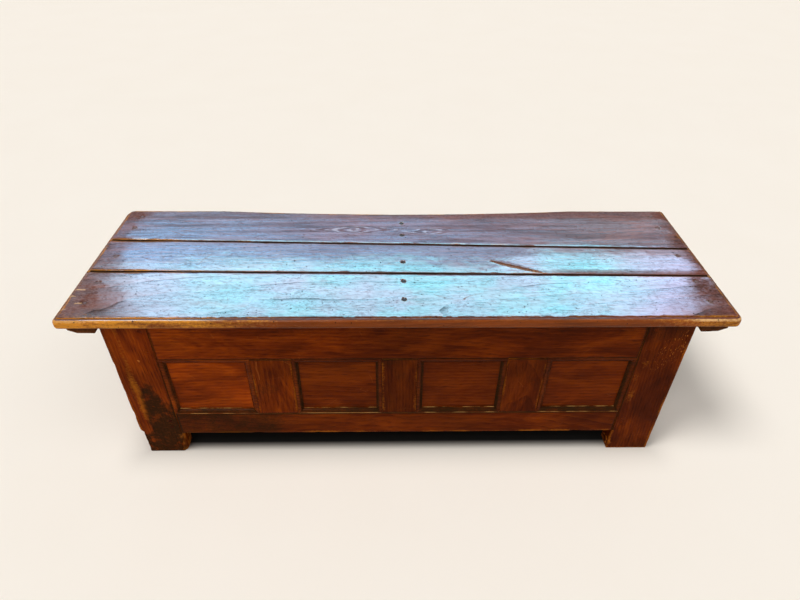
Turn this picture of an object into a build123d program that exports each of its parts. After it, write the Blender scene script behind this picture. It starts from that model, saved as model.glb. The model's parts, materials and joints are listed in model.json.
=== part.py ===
from build123d import *

import os
from math import atan2, degrees, hypot

# An antique joined blanket chest: four posts that run down into feet, grooved rails and muntins round flat
# panels, a boarded floor nailed on ledges, and a three-board lid on cleats, hung on two iron strap hinges.
# Millimetres. +Z is up, the front faces -Y, and the origin is on the floor under the middle of the closed chest.

# Lid boards
LID_LENGTH = 1500.0
LID_DEPTH = 475.0
LID_THICKNESS = 26.0
LID_FRONT_OVERHANG = 25.0
LID_BACK_OVERHANG = 20.0
LID_END_OVERHANG = 83.0
SEAM_GAP = 3.0
SEAM_ARRIS = 1.5
# Where the two open seams run, from the lid's front edge, at its left and right ends
FRONT_SEAM_LEFT = 187.0
FRONT_SEAM_RIGHT = 163.0
BACK_SEAM_LEFT = 327.0
BACK_SEAM_RIGHT = 281.0
# Thumb moulding along the front and both ends: a small step down, a flat, and a rounded nose
NOSE_STEP = 2.0
NOSE_FLAT = 1.0
NOSE_TOP_RADIUS = 9.0
NOSE_BOTTOM_RADIUS = 7.0
# Corners of the lid in plan, and the long hollow worn or sawn in its back edge
FRONT_LEFT_RADIUS = 12.0
FRONT_RIGHT_RADIUS = 16.0
BACK_LEFT_RADIUS = 28.0
BACK_RIGHT_RADIUS = 4.0
HOLLOW_LENGTH = 960.0
HOLLOW_DEPTH = 18.0

# Chest frame
CHEST_HEIGHT = 448.0
LEFT_POST_WIDTH = 104.0
RIGHT_POST_WIDTH = 109.0
POST_DEPTH = 45.0
FOOT_HEIGHT = 73.0
BOTTOM_RAIL_HEIGHT = 74.0
TOP_RAIL_HEIGHT = 114.0
LONG_RAIL_THICKNESS = 30.0
END_RAIL_THICKNESS = 28.0
FRONT_MUNTIN_WIDTHS = (97.0, 85.0, 94.0)
BACK_MUNTIN_WIDTHS = (95.0, 95.0)
MUNTIN_THICKNESS = 30.0

# Joinery: the tenons and the panels lie in one plane, set back from the frame's outer face
PANEL_SETBACK = 8.0
PANEL_THICKNESS = 10.0
PANEL_PLAY = 1.0
GROOVE_DEPTH = 10.0
TENON_SHOULDER = 12.0
LONG_RAIL_TENON = 38.0
END_RAIL_TENON = 26.0
MUNTIN_TENON = 25.0
JOINT_CLEARANCE = 0.1
PEG_RADIUS = 4.5
PEG_LENGTH = 30.0
PEG_INSET = 14.0

# Mitred mouldings round the front panels
MOULDING_WIDTH = 15.0
MOULDING_THICKNESS = 7.5
MOULDING_LAND = 3.0
MOULDING_BEAD_WIDTH = 3.0
MOULDING_BEAD_HEIGHT = 1.8
MOULDING_SWELL = 1.7

# Floor
LEDGE_WIDTH = 25.0
LEDGE_HEIGHT = 25.0
FLOOR_THICKNESS = 15.0
FLOOR_BOARDS = 7
FLOOR_BOARD_GAP = 1.0
FLOOR_END_GAP = 1.0

# Cleats under the lid
END_CLEAT_WIDTH = 62.0
END_CLEAT_THICKNESS = 22.0
END_CLEAT_FRONT_INSET = 14.0
END_CLEAT_BACK_INSET = 16.0
END_CLEAT_CLEARANCE = 2.0
END_CLEAT_BEVEL_WIDTH = 20.0
END_CLEAT_BEVEL_HEIGHT = 9.0
END_CLEAT_INNER_RADIUS = 6.0
CENTRE_CLEAT_WIDTH = 60.0
CENTRE_CLEAT_THICKNESS = 25.0
CENTRE_CLEAT_PLACE = 8.0
CENTRE_CLEAT_CLEARANCE = 7.0

# Hand-made nails. Those in the back board are placed from the lid's back edge, and the others from its front.
LID_NAIL_HEAD_RADIUS = 5.5
LID_NAIL_HEAD_DEPTH = 2.0
LID_NAIL_RADIUS = 2.0
LID_NAIL_LENGTH = 40.0
CENTRE_NAILS_FROM_FRONT = (73.0, 143.0, 223.0)
CENTRE_NAILS_FROM_BACK = (127.0, 67.0)
END_NAILS_FROM_FRONT = (63.0, 140.0, 250.0)
END_NAILS_FROM_BACK = (91.0, 30.0)
FLOOR_NAIL_HEAD_RADIUS = 4.0
FLOOR_NAIL_HEAD_DEPTH = 1.5
FLOOR_NAIL_RADIUS = 1.5
FLOOR_NAIL_LENGTH = 36.0
FLOOR_NAIL_SPREAD = 110.0
END_LEDGE_NAIL_SPREAD = 160.0
NAIL_SUNK = 0.4
NAIL_CLEARANCE = 0.05

# Iron strap hinges
HINGE_INSET = 227.0
KNUCKLE_RADIUS = 6.0
KNUCKLE_LENGTH = 12.0
KNUCKLE_GAP = 0.3
KNUCKLE_CLEARANCE = 0.3
PIN_RADIUS = 2.5
PIN_CLEARANCE = 0.05
PIN_HEAD_RADIUS = 3.5
PIN_HEAD_LENGTH = 1.2
STRAP_THICKNESS = 2.5
LID_STRAP_LENGTH = 200.0
LID_STRAP_TIP_WIDTH = 18.0
BACK_STRAP_LENGTH = 85.0
STRAP_NAIL_HEAD_RADIUS = 4.0
STRAP_NAIL_HEAD_DEPTH = 1.5
STRAP_NAIL_RADIUS = 1.5
STRAP_NAIL_LENGTH = 18.0
# Nails in a strap: how many, the first one's distance from the pin, and the last one's from the strap's tip
STRAP_NAILS = 3
LID_STRAP_FIRST_NAIL = 58.0
LID_STRAP_TIP_INSET = 12.0
BACK_STRAP_FIRST_NAIL = 28.0
BACK_STRAP_TIP_INSET = 11.0

# Over-size that carries a cutting shape clear of the faces it cuts
CUT_PAST = 5.0

# Places worked out from the sizes above
LID_BOTTOM = CHEST_HEIGHT
LID_TOP = CHEST_HEIGHT + LID_THICKNESS
LID_FRONT = -LID_DEPTH / 2
LID_BACK = LID_DEPTH / 2
CHEST_FRONT = LID_FRONT + LID_FRONT_OVERHANG
CHEST_BACK = LID_BACK - LID_BACK_OVERHANG
CHEST_LEFT = LID_END_OVERHANG - LID_LENGTH / 2
CHEST_RIGHT = LID_LENGTH / 2 - LID_END_OVERHANG
OPENING = (FOOT_HEIGHT + BOTTOM_RAIL_HEIGHT, CHEST_HEIGHT - TOP_RAIL_HEIGHT)
BOTTOM_RAIL = (FOOT_HEIGHT, OPENING[0])
TOP_RAIL = (OPENING[1], CHEST_HEIGHT)
# The clear lengths between the posts, along X and along Y
LONG_SPAN = (CHEST_LEFT + LEFT_POST_WIDTH, CHEST_RIGHT - RIGHT_POST_WIDTH)
END_SPAN = (CHEST_FRONT + POST_DEPTH, CHEST_BACK - POST_DEPTH)
INNER_X = (CHEST_LEFT + END_RAIL_THICKNESS, CHEST_RIGHT - END_RAIL_THICKNESS)
INNER_Y = (CHEST_FRONT + LONG_RAIL_THICKNESS, CHEST_BACK - LONG_RAIL_THICKNESS)
LEDGE_TOP = FOOT_HEIGHT + LEDGE_HEIGHT
FLOOR_TOP = LEDGE_TOP + FLOOR_THICKNESS
TENON_PLANE = (PANEL_SETBACK, PANEL_SETBACK + PANEL_THICKNESS)
HINGE_Y = CHEST_BACK + KNUCKLE_RADIUS + KNUCKLE_CLEARANCE
HINGE_Z = LID_BOTTOM + STRAP_THICKNESS - KNUCKLE_RADIUS
HINGE_LENGTH = 3 * KNUCKLE_LENGTH + 2 * KNUCKLE_GAP
HINGES = {"left": CHEST_LEFT + HINGE_INSET, "right": CHEST_RIGHT - HINGE_INSET}

# An outer face of the chest is its place, and which way is inwards from it
FRONT = (CHEST_FRONT, 1)
BACK = (CHEST_BACK, -1)
LEFT = (CHEST_LEFT, 1)
RIGHT = (CHEST_RIGHT, -1)


def block(x, y, z):
    """A box between two places on each axis."""
    middle = [(low + high) / 2 for low, high in (x, y, z)]
    size = [high - low for low, high in (x, y, z)]
    return Pos(*middle) * Box(*size)


def grown(span, by):
    """A span made longer at both ends, or shorter where by is less than nothing."""
    return (span[0] - by, span[1] + by)


def inward(face, near, far):
    """The span between two depths behind an outer face."""
    place, way = face
    return tuple(sorted((place + way * near, place + way * far)))


def along(face, x_or_y, depth, z):
    """A box on a long face (front or back) or an end face, by its span along the face, depth and height."""
    if face in (FRONT, BACK):
        return block(x_or_y, depth, z)
    return block(depth, x_or_y, z)


def nail(head_radius, head_depth, radius, length, loose=0.0):
    """A nail pointing down from the origin, the middle of its head's top, or with loose its hole and mouth."""
    mouth = CUT_PAST if loose else 0.0
    head = Pos(0, 0, (mouth - head_depth) / 2) * Cylinder(head_radius + loose, head_depth + mouth)
    shank = Pos(0, 0, -(length + loose) / 2) * Cylinder(radius + loose, length + loose)
    return head + shank


def panel_zone(face, span):
    """The room for the panels of one side: their plane, reaching into the grooves all round."""
    plane = inward(face, *grown(TENON_PLANE, JOINT_CLEARANCE))
    return along(face, grown(span, GROOVE_DEPTH), plane, grown(OPENING, GROOVE_DEPTH))


def rail_tenons(face, span, level, length, loose=0.0):
    """A rail's two tenons, or with loose the mortises they fit."""
    plane = grown(inward(face, *TENON_PLANE), loose)
    height = grown(level, loose - TENON_SHOULDER)
    reach = grown(span, length + loose)
    return along(face, reach, plane, height)


def rail_pegs(face, span, tenon_length, loose=0.0):
    """The draw-bore pegs of one side, two through each rail tenon, driven in from its outer face."""
    place, way = face
    pegs = []
    for edge, outward in ((span[0], -1), (span[1], 1)):
        for level in (BOTTOM_RAIL, TOP_RAIL):
            for height in grown(level, -TENON_SHOULDER - PEG_INSET):
                across = edge + outward * tenon_length / 2
                peg = Cylinder(PEG_RADIUS + loose, PEG_LENGTH + loose)
                depth = place + way * (PEG_LENGTH + loose) / 2
                if face in (FRONT, BACK):
                    pegs.append(Pos(across, depth, height) * Rot(90, 0, 0) * peg)
                else:
                    pegs.append(Pos(depth, across, height) * Rot(0, 90, 0) * peg)
    return pegs


def muntin_places(widths):
    """The spans of one side's muntins and of the equal openings between them, along X."""
    openings_wide = (LONG_SPAN[1] - LONG_SPAN[0] - sum(widths)) / (len(widths) + 1)
    muntins = []
    openings = []
    start = LONG_SPAN[0]
    for width in widths:
        openings.append((start, start + openings_wide))
        muntins.append((start + openings_wide, start + openings_wide + width))
        start = muntins[-1][1]
    openings.append((start, LONG_SPAN[1]))
    return muntins, openings


def muntin_tenons(face, span, loose=0.0):
    """A muntin's tenons above and below, or with loose the mortises they fit."""
    plane = grown(inward(face, *TENON_PLANE), loose)
    return along(face, grown(span, loose - TENON_SHOULDER), plane, grown(OPENING, MUNTIN_TENON + loose))


def make_muntin(face, span):
    """An upright between two panels, grooved on both edges and tenoned into both rails."""
    body = along(face, span, inward(face, 0, MUNTIN_THICKNESS), OPENING)
    plane = inward(face, *grown(TENON_PLANE, JOINT_CLEARANCE))
    for edge in span:
        body -= along(face, grown((edge, edge), GROOVE_DEPTH), plane, grown(OPENING, CUT_PAST))
    return body + muntin_tenons(face, span)


def make_panel(face, span):
    """A flat panel, loose in its grooves all round."""
    reach = GROOVE_DEPTH - PANEL_PLAY
    return along(face, grown(span, reach), inward(face, *TENON_PLANE), grown(OPENING, reach))


def make_rail(face, span, level, thickness, tenon, muntins, pegs):
    """A rail with a tenon at each end, grooved for the panels and mortised for the muntins."""
    rail = along(face, span, inward(face, 0, thickness), level)
    rail -= panel_zone(face, span)
    rail += rail_tenons(face, span, level, tenon)
    for muntin in muntins:
        rail -= muntin_tenons(face, muntin, JOINT_CLEARANCE)
    for peg in pegs:
        rail -= peg
    return rail


def make_post(x, y, long_face, end_face, cuts):
    """A corner post and its foot, mortised and grooved for the long side and the end that meet in it."""
    post = block(x, y, (0, CHEST_HEIGHT))
    for face, span, tenon in ((long_face, LONG_SPAN, LONG_RAIL_TENON), (end_face, END_SPAN, END_RAIL_TENON)):
        post -= panel_zone(face, span)
        for level in (BOTTOM_RAIL, TOP_RAIL):
            post -= rail_tenons(face, span, level, tenon, JOINT_CLEARANCE)
    for cut in cuts:
        post -= cut
    return post


def moulding_strip(length):
    """One mitred strip lying along X, its outer edge on the X axis and its back on the XY plane."""
    land_end = (MOULDING_LAND, MOULDING_THICKNESS)
    bead_start = (MOULDING_WIDTH - MOULDING_BEAD_WIDTH, MOULDING_BEAD_HEIGHT)
    across = (bead_start[0] - land_end[0], bead_start[1] - land_end[1])
    chord = hypot(*across)
    # The round swells outwards from the middle of its chord
    swell = (
        (land_end[0] + bead_start[0]) / 2 - across[1] / chord * MOULDING_SWELL,
        (land_end[1] + bead_start[1]) / 2 + across[0] / chord * MOULDING_SWELL,
    )
    edges = [
        Line((0, 0), (0, MOULDING_THICKNESS)),
        Line((0, MOULDING_THICKNESS), land_end),
        ThreePointArc(land_end, swell, bead_start),
        Line(bead_start, (MOULDING_WIDTH, MOULDING_BEAD_HEIGHT)),
        Line((MOULDING_WIDTH, MOULDING_BEAD_HEIGHT), (MOULDING_WIDTH, 0)),
        Line((MOULDING_WIDTH, 0), (0, 0)),
    ]
    strip = extrude(Plane.YZ * make_face(edges), length)
    mitres = Polygon(
        (0, 0), (length, 0), (length - MOULDING_WIDTH, MOULDING_WIDTH), (MOULDING_WIDTH, MOULDING_WIDTH), align=None
    )
    return strip & extrude(mitres, MOULDING_THICKNESS)


def make_moulding(opening):
    """The four mitred strips round one front panel, seated on the panel against the frame."""
    left, right = opening
    low, high = OPENING
    front_of_panel = CHEST_FRONT + PANEL_SETBACK
    corners = ((left, low), (right, low), (right, high), (left, high))
    ways = ((1, 0), (0, 1), (-1, 0), (0, -1))
    lengths = (right - left, high - low) * 2
    strips = []
    for (x, z), (way_x, way_z), length in zip(corners, ways, lengths):
        place = Plane(origin=(x, front_of_panel, z), x_dir=(way_x, 0, way_z), z_dir=(0, -1, 0))
        strips.append(place.location * moulding_strip(length))
    return Compound(strips)


def floor_edges():
    """The X places where the floor boards meet, from the left end of the floor to the right."""
    inside = grown(INNER_X, -FLOOR_END_GAP)
    pitch = (inside[1] - inside[0]) / FLOOR_BOARDS
    return [inside[0] + pitch * count for count in range(FLOOR_BOARDS + 1)]


def floor_nails(loose=0.0):
    """Nails down through the floor boards into the long ledges, and out through every ledge into its rail."""
    one = nail(FLOOR_NAIL_HEAD_RADIUS, FLOOR_NAIL_HEAD_DEPTH, FLOOR_NAIL_RADIUS, FLOOR_NAIL_LENGTH, loose)
    nails = []
    edges = floor_edges()
    ledge_middle = FOOT_HEIGHT + LEDGE_HEIGHT / 2
    for wall, way in ((INNER_Y[0], 1), (INNER_Y[1], -1)):
        over_ledge = wall + way * LEDGE_WIDTH / 2
        face = wall + way * (LEDGE_WIDTH - NAIL_SUNK)
        for start, end in zip(edges, edges[1:]):
            for x in ((start + end - FLOOR_NAIL_SPREAD) / 2, (start + end + FLOOR_NAIL_SPREAD) / 2):
                if LONG_SPAN[0] < x < LONG_SPAN[1]:
                    nails.append(Pos(x, over_ledge, FLOOR_TOP - NAIL_SUNK) * one)
        for x in edges[1:-1]:
            nails.append(Pos(x, face, ledge_middle) * Rot(-90 * way, 0, 0) * one)
    for wall, way in ((INNER_X[0], 1), (INNER_X[1], -1)):
        face = wall + way * (LEDGE_WIDTH - NAIL_SUNK)
        middle = sum(END_SPAN) / 2
        for y in (middle - END_LEDGE_NAIL_SPREAD / 2, middle + END_LEDGE_NAIL_SPREAD / 2):
            nails.append(Pos(face, y, ledge_middle) * Rot(0, 90 * way, 0) * one)
    return nails


def floor_ledges():
    """Four square ledges inside the bottom rails, between the posts."""
    height = (FOOT_HEIGHT, LEDGE_TOP)
    return {
        "floor_ledge_front": block(LONG_SPAN, (INNER_Y[0], INNER_Y[0] + LEDGE_WIDTH), height),
        "floor_ledge_back": block(LONG_SPAN, (INNER_Y[1] - LEDGE_WIDTH, INNER_Y[1]), height),
        "floor_ledge_left": block((INNER_X[0], INNER_X[0] + LEDGE_WIDTH), END_SPAN, height),
        "floor_ledge_right": block((INNER_X[1] - LEDGE_WIDTH, INNER_X[1]), END_SPAN, height),
    }


def floor_boards():
    """Floor boards that run front to back, the first and last notched round the posts."""
    edges = floor_edges()
    notches = []
    for side in ((CHEST_LEFT, LONG_SPAN[0]), (LONG_SPAN[1], CHEST_RIGHT)):
        for end in ((CHEST_FRONT, END_SPAN[0]), (END_SPAN[1], CHEST_BACK)):
            notches.append(block(grown(side, FLOOR_END_GAP), grown(end, FLOOR_END_GAP), (LEDGE_TOP, FLOOR_TOP)))
    boards = []
    for start, end in zip(edges, edges[1:]):
        width = grown((start, end), -FLOOR_BOARD_GAP / 2)
        board = block(width, grown(INNER_Y, -FLOOR_END_GAP), (LEDGE_TOP, FLOOR_TOP))
        for notch in notches:
            board -= notch
        boards.append(board)
    return boards


def nosed_blank():
    """The lid as one slab with its thumb moulding, run on past the back edge, where it will be cut."""
    past_back = LID_DEPTH / 4
    depth = LID_DEPTH + past_back
    place_y = LID_FRONT + depth / 2
    nose_width = NOSE_TOP_RADIUS + NOSE_FLAT
    body = Pos(0, place_y, LID_BOTTOM + (LID_THICKNESS - NOSE_STEP) / 2) * Box(
        LID_LENGTH, depth, LID_THICKNESS - NOSE_STEP
    )
    top = Pos(0, place_y, LID_TOP - NOSE_STEP / 2) * Box(
        LID_LENGTH - 2 * nose_width, depth - 2 * nose_width, NOSE_STEP
    )
    radii = (FRONT_LEFT_RADIUS, FRONT_RIGHT_RADIUS)
    for number, radius in enumerate(radii):
        upright = body.edges().filter_by(Axis.Z).group_by(Axis.Y)[0].sort_by(Axis.X)[0 if number == 0 else -1]
        body = fillet(upright, radius)
        if radius > nose_width:
            upright = top.edges().filter_by(Axis.Z).group_by(Axis.Y)[0].sort_by(Axis.X)[0 if number == 0 else -1]
            top = fillet(upright, radius - nose_width)
    body = fillet(body.edges().group_by(Axis.Z)[-1], NOSE_TOP_RADIUS)
    body = fillet(body.edges().group_by(Axis.Z)[0], NOSE_BOTTOM_RADIUS)
    return body + top


def lid_back_waste():
    """What is cut away behind the lid: a straight strip, two rounded corners and the long hollow."""
    past = LID_DEPTH / 2
    strip = Pos(0, LID_BACK + past / 2) * Rectangle(LID_LENGTH + past, past)
    half = HOLLOW_LENGTH / 2
    hollow = make_face(
        [
            ThreePointArc((-half, LID_BACK), (0, LID_BACK - HOLLOW_DEPTH), (half, LID_BACK)),
            Polyline((half, LID_BACK), (half, LID_BACK + past), (-half, LID_BACK + past), (-half, LID_BACK)),
        ]
    )
    waste = extrude(strip, LID_THICKNESS + 2 * CUT_PAST) + extrude(hollow, LID_THICKNESS + 2 * CUT_PAST)
    for side, radius in ((-1, BACK_LEFT_RADIUS), (1, BACK_RIGHT_RADIUS)):
        middle = Pos(side * (LID_LENGTH / 2 - radius), LID_BACK - radius)
        reach = radius + CUT_PAST
        square = Pos(side * reach / 2, reach / 2) * Rectangle(reach, reach)
        waste += extrude(middle * (square - Circle(radius)), LID_THICKNESS + 2 * CUT_PAST)
    return Pos(0, 0, LID_BOTTOM - CUT_PAST) * waste


def seam_waste(left, right):
    """An open seam between two lid boards, with its top arrises taken off."""
    start = Vector(-LID_LENGTH / 2, LID_FRONT + left, LID_TOP)
    turn = degrees(atan2(right - left, LID_LENGTH))
    half = SEAM_GAP / 2
    section = Polygon(
        (-half, -LID_THICKNESS - CUT_PAST),
        (half, -LID_THICKNESS - CUT_PAST),
        (half, -SEAM_ARRIS),
        (half + SEAM_ARRIS, 0),
        (half + SEAM_ARRIS, CUT_PAST),
        (-half - SEAM_ARRIS, CUT_PAST),
        (-half - SEAM_ARRIS, 0),
        (-half, -SEAM_ARRIS),
        align=None,
    )
    length = hypot(LID_LENGTH, right - left) + 2 * CUT_PAST
    cutter = Pos(-CUT_PAST, 0, 0) * extrude(Plane.YZ * section, length)
    return Pos(*start) * Rot(0, 0, turn) * cutter


def end_cleat(side):
    """A cleat under one end of the lid, bevelled along its lower outer edge and rounded inside."""
    inner = CHEST_RIGHT + END_CLEAT_CLEARANCE
    outer = inner + END_CLEAT_WIDTH
    low = LID_BOTTOM - END_CLEAT_THICKNESS
    section = Polygon(
        (inner, low),
        (outer - END_CLEAT_BEVEL_WIDTH, low),
        (outer, low + END_CLEAT_BEVEL_HEIGHT),
        (outer, LID_BOTTOM),
        (inner, LID_BOTTOM),
        align=None,
    )
    length = LID_DEPTH - END_CLEAT_FRONT_INSET - END_CLEAT_BACK_INSET
    cleat = extrude(Plane.XZ * section, -length)
    rounded = cleat.edges().filter_by(Axis.Y).group_by(Axis.Z)[0].sort_by(Axis.X)[0]
    cleat = Pos(0, LID_FRONT + END_CLEAT_FRONT_INSET, 0) * fillet(rounded, END_CLEAT_INNER_RADIUS)
    return cleat if side > 0 else mirror(cleat, Plane.YZ)


def centre_cleat():
    """The cleat under the middle of the lid, which drops inside the chest between the rails."""
    x = (CENTRE_CLEAT_PLACE - CENTRE_CLEAT_WIDTH / 2, CENTRE_CLEAT_PLACE + CENTRE_CLEAT_WIDTH / 2)
    y = grown(INNER_Y, -CENTRE_CLEAT_CLEARANCE)
    return block(x, y, (LID_BOTTOM - CENTRE_CLEAT_THICKNESS, LID_BOTTOM))


def lid_nails(loose=0.0):
    """Nails down through the lid boards into the three cleats, their heads just under the surface."""
    one = nail(LID_NAIL_HEAD_RADIUS, LID_NAIL_HEAD_DEPTH, LID_NAIL_RADIUS, LID_NAIL_LENGTH, loose)
    end_row = CHEST_RIGHT + END_CLEAT_CLEARANCE + END_CLEAT_WIDTH / 2
    rows = (
        (-end_row, END_NAILS_FROM_FRONT, END_NAILS_FROM_BACK),
        (CENTRE_CLEAT_PLACE, CENTRE_NAILS_FROM_FRONT, CENTRE_NAILS_FROM_BACK),
        (end_row, END_NAILS_FROM_FRONT, END_NAILS_FROM_BACK),
    )
    nails = []
    for x, from_front, from_back in rows:
        places = [LID_FRONT + distance for distance in from_front] + [LID_BACK - distance for distance in from_back]
        nails += [Pos(x, y, LID_TOP - NAIL_SUNK) * one for y in places]
    return nails


def knuckle(number, x):
    """One knuckle of the hinge centred at x, counted from the left, with its bore."""
    middle = x - HINGE_LENGTH / 2 + KNUCKLE_LENGTH / 2 + number * (KNUCKLE_LENGTH + KNUCKLE_GAP)
    barrel = Cylinder(KNUCKLE_RADIUS, KNUCKLE_LENGTH) - Cylinder(PIN_RADIUS + PIN_CLEARANCE, KNUCKLE_LENGTH)
    return middle, Pos(middle, HINGE_Y, HINGE_Z) * Rot(0, 90, 0) * barrel


def knuckle_bore(x):
    """The pin's bore through the whole hinge, which trims what joins a strap to its knuckles."""
    bore = Cylinder(PIN_RADIUS + PIN_CLEARANCE, HINGE_LENGTH)
    return Pos(x, HINGE_Y, HINGE_Z) * Rot(0, 90, 0) * bore


def lid_strap_outline(x, spare=0.0):
    """A lid strap in plan: full width behind, tapering forwards to a rounded tip."""
    back = HINGE_Y - KNUCKLE_RADIUS - 2 * KNUCKLE_CLEARANCE + spare
    tip_radius = LID_STRAP_TIP_WIDTH / 2
    tip = HINGE_Y - LID_STRAP_LENGTH + tip_radius
    wide = HINGE_LENGTH / 2 + spare
    narrow = tip_radius + spare
    return make_face(
        [
            Line((x - wide, back), (x - narrow, tip)),
            ThreePointArc((x - narrow, tip), (x, tip - narrow), (x + narrow, tip)),
            Line((x + narrow, tip), (x + wide, back)),
            Line((x + wide, back), (x - wide, back)),
        ]
    )


def strap_nails(first, last, loose=0.0):
    """The nails of one strap, pointing up, spread evenly between two distances along -Y from the origin."""
    one = nail(STRAP_NAIL_HEAD_RADIUS, STRAP_NAIL_HEAD_DEPTH, STRAP_NAIL_RADIUS, STRAP_NAIL_LENGTH, loose)
    pitch = (last - first) / (STRAP_NAILS - 1)
    return [Pos(0, -first - pitch * number, 0) * Rot(180, 0, 0) * one for number in range(STRAP_NAILS)]


def lid_strap_nails(x, loose=0.0):
    """A lid strap's nails, driven up into the lid, their heads against the strap from below."""
    place = Pos(x, HINGE_Y, LID_BOTTOM - STRAP_NAIL_HEAD_DEPTH)
    last = LID_STRAP_LENGTH - LID_STRAP_TIP_INSET
    return [place * one for one in strap_nails(LID_STRAP_FIRST_NAIL, last, loose)]


def back_strap_nails(x, loose=0.0):
    """A back strap's nails, driven forwards into the back rail, their heads against the strap from behind."""
    place = Pos(x, CHEST_BACK + STRAP_THICKNESS + STRAP_NAIL_HEAD_DEPTH, HINGE_Z) * Rot(90, 0, 0)
    last = BACK_STRAP_LENGTH - BACK_STRAP_TIP_INSET
    return [place * one for one in strap_nails(BACK_STRAP_FIRST_NAIL, last, loose)]


def make_lid_strap(x):
    """The strap let into the underside of the lid, ending in the middle knuckle."""
    plate = Pos(0, 0, LID_BOTTOM) * extrude(lid_strap_outline(x), STRAP_THICKNESS)
    middle, barrel = knuckle(1, x)
    tongue_span = grown((middle, middle), KNUCKLE_LENGTH / 2)
    back = HINGE_Y - KNUCKLE_RADIUS - 2 * KNUCKLE_CLEARANCE
    tongue = block(tongue_span, (back - CUT_PAST, HINGE_Y), (LID_BOTTOM, LID_BOTTOM + STRAP_THICKNESS))
    strap = plate + tongue + barrel - knuckle_bore(x)
    for one in lid_strap_nails(x, NAIL_CLEARANCE):
        strap -= one
    return strap


def make_back_strap(x):
    """The strap down the outside of the back rail, ending in the two outer knuckles."""
    low = HINGE_Z - BACK_STRAP_LENGTH
    high = HINGE_Z - KNUCKLE_RADIUS - 2 * KNUCKLE_CLEARANCE
    depth = (CHEST_BACK, CHEST_BACK + STRAP_THICKNESS)
    strap = block(grown((x, x), HINGE_LENGTH / 2), depth, (low, high))
    corners = strap.edges().filter_by(Axis.Y).group_by(Axis.Z)[0]
    strap = fillet(corners, HINGE_LENGTH / 3)
    for number in (0, 2):
        middle, barrel = knuckle(number, x)
        tongue_span = grown((middle, middle), KNUCKLE_LENGTH / 2)
        strap += block(tongue_span, depth, (high - CUT_PAST, HINGE_Z)) + barrel
    strap -= knuckle_bore(x)
    for one in back_strap_nails(x, NAIL_CLEARANCE):
        strap -= one
    return strap


def make_pin(x):
    """A hinge pin with a small riveted head at each end."""
    pin = Cylinder(PIN_RADIUS, HINGE_LENGTH + PIN_HEAD_LENGTH)
    for end in (-1, 1):
        place = end * (HINGE_LENGTH + PIN_HEAD_LENGTH) / 2
        pin += Pos(0, 0, place) * Cylinder(PIN_HEAD_RADIUS, PIN_HEAD_LENGTH)
    return Pos(x, HINGE_Y, HINGE_Z) * Rot(0, 90, 0) * pin


def hinge_room(x):
    """What is let into the underside of the lid for one hinge: its strap and the round of its knuckles."""
    recess = extrude(lid_strap_outline(x, KNUCKLE_CLEARANCE), STRAP_THICKNESS + CUT_PAST)
    length = HINGE_LENGTH + 4 * PIN_HEAD_LENGTH
    round_room = Cylinder(KNUCKLE_RADIUS + KNUCKLE_CLEARANCE, length)
    middle, _ = knuckle(1, x)
    tongue_span = grown((middle, middle), KNUCKLE_LENGTH / 2 + KNUCKLE_CLEARANCE)
    tongue = block(tongue_span, (HINGE_Y - 2 * KNUCKLE_RADIUS, HINGE_Y), (LID_BOTTOM, LID_BOTTOM + STRAP_THICKNESS))
    return [
        Pos(0, 0, LID_BOTTOM - CUT_PAST) * recess,
        Pos(x, HINGE_Y, HINGE_Z) * Rot(0, 90, 0) * round_room,
        tongue,
    ]


def lid_boards():
    """The three lid boards, front to back, cut from one slab and drilled for nails and hinges."""
    slab = nosed_blank() - lid_back_waste()
    slab -= seam_waste(FRONT_SEAM_LEFT, FRONT_SEAM_RIGHT)
    slab -= seam_waste(BACK_SEAM_LEFT, BACK_SEAM_RIGHT)
    boards = slab.solids().sort_by(Axis.Y)
    cuts = lid_nails(NAIL_CLEARANCE)
    for x in HINGES.values():
        cuts += hinge_room(x) + lid_strap_nails(x, NAIL_CLEARANCE)
    return [board - cuts for board in boards]


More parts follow.
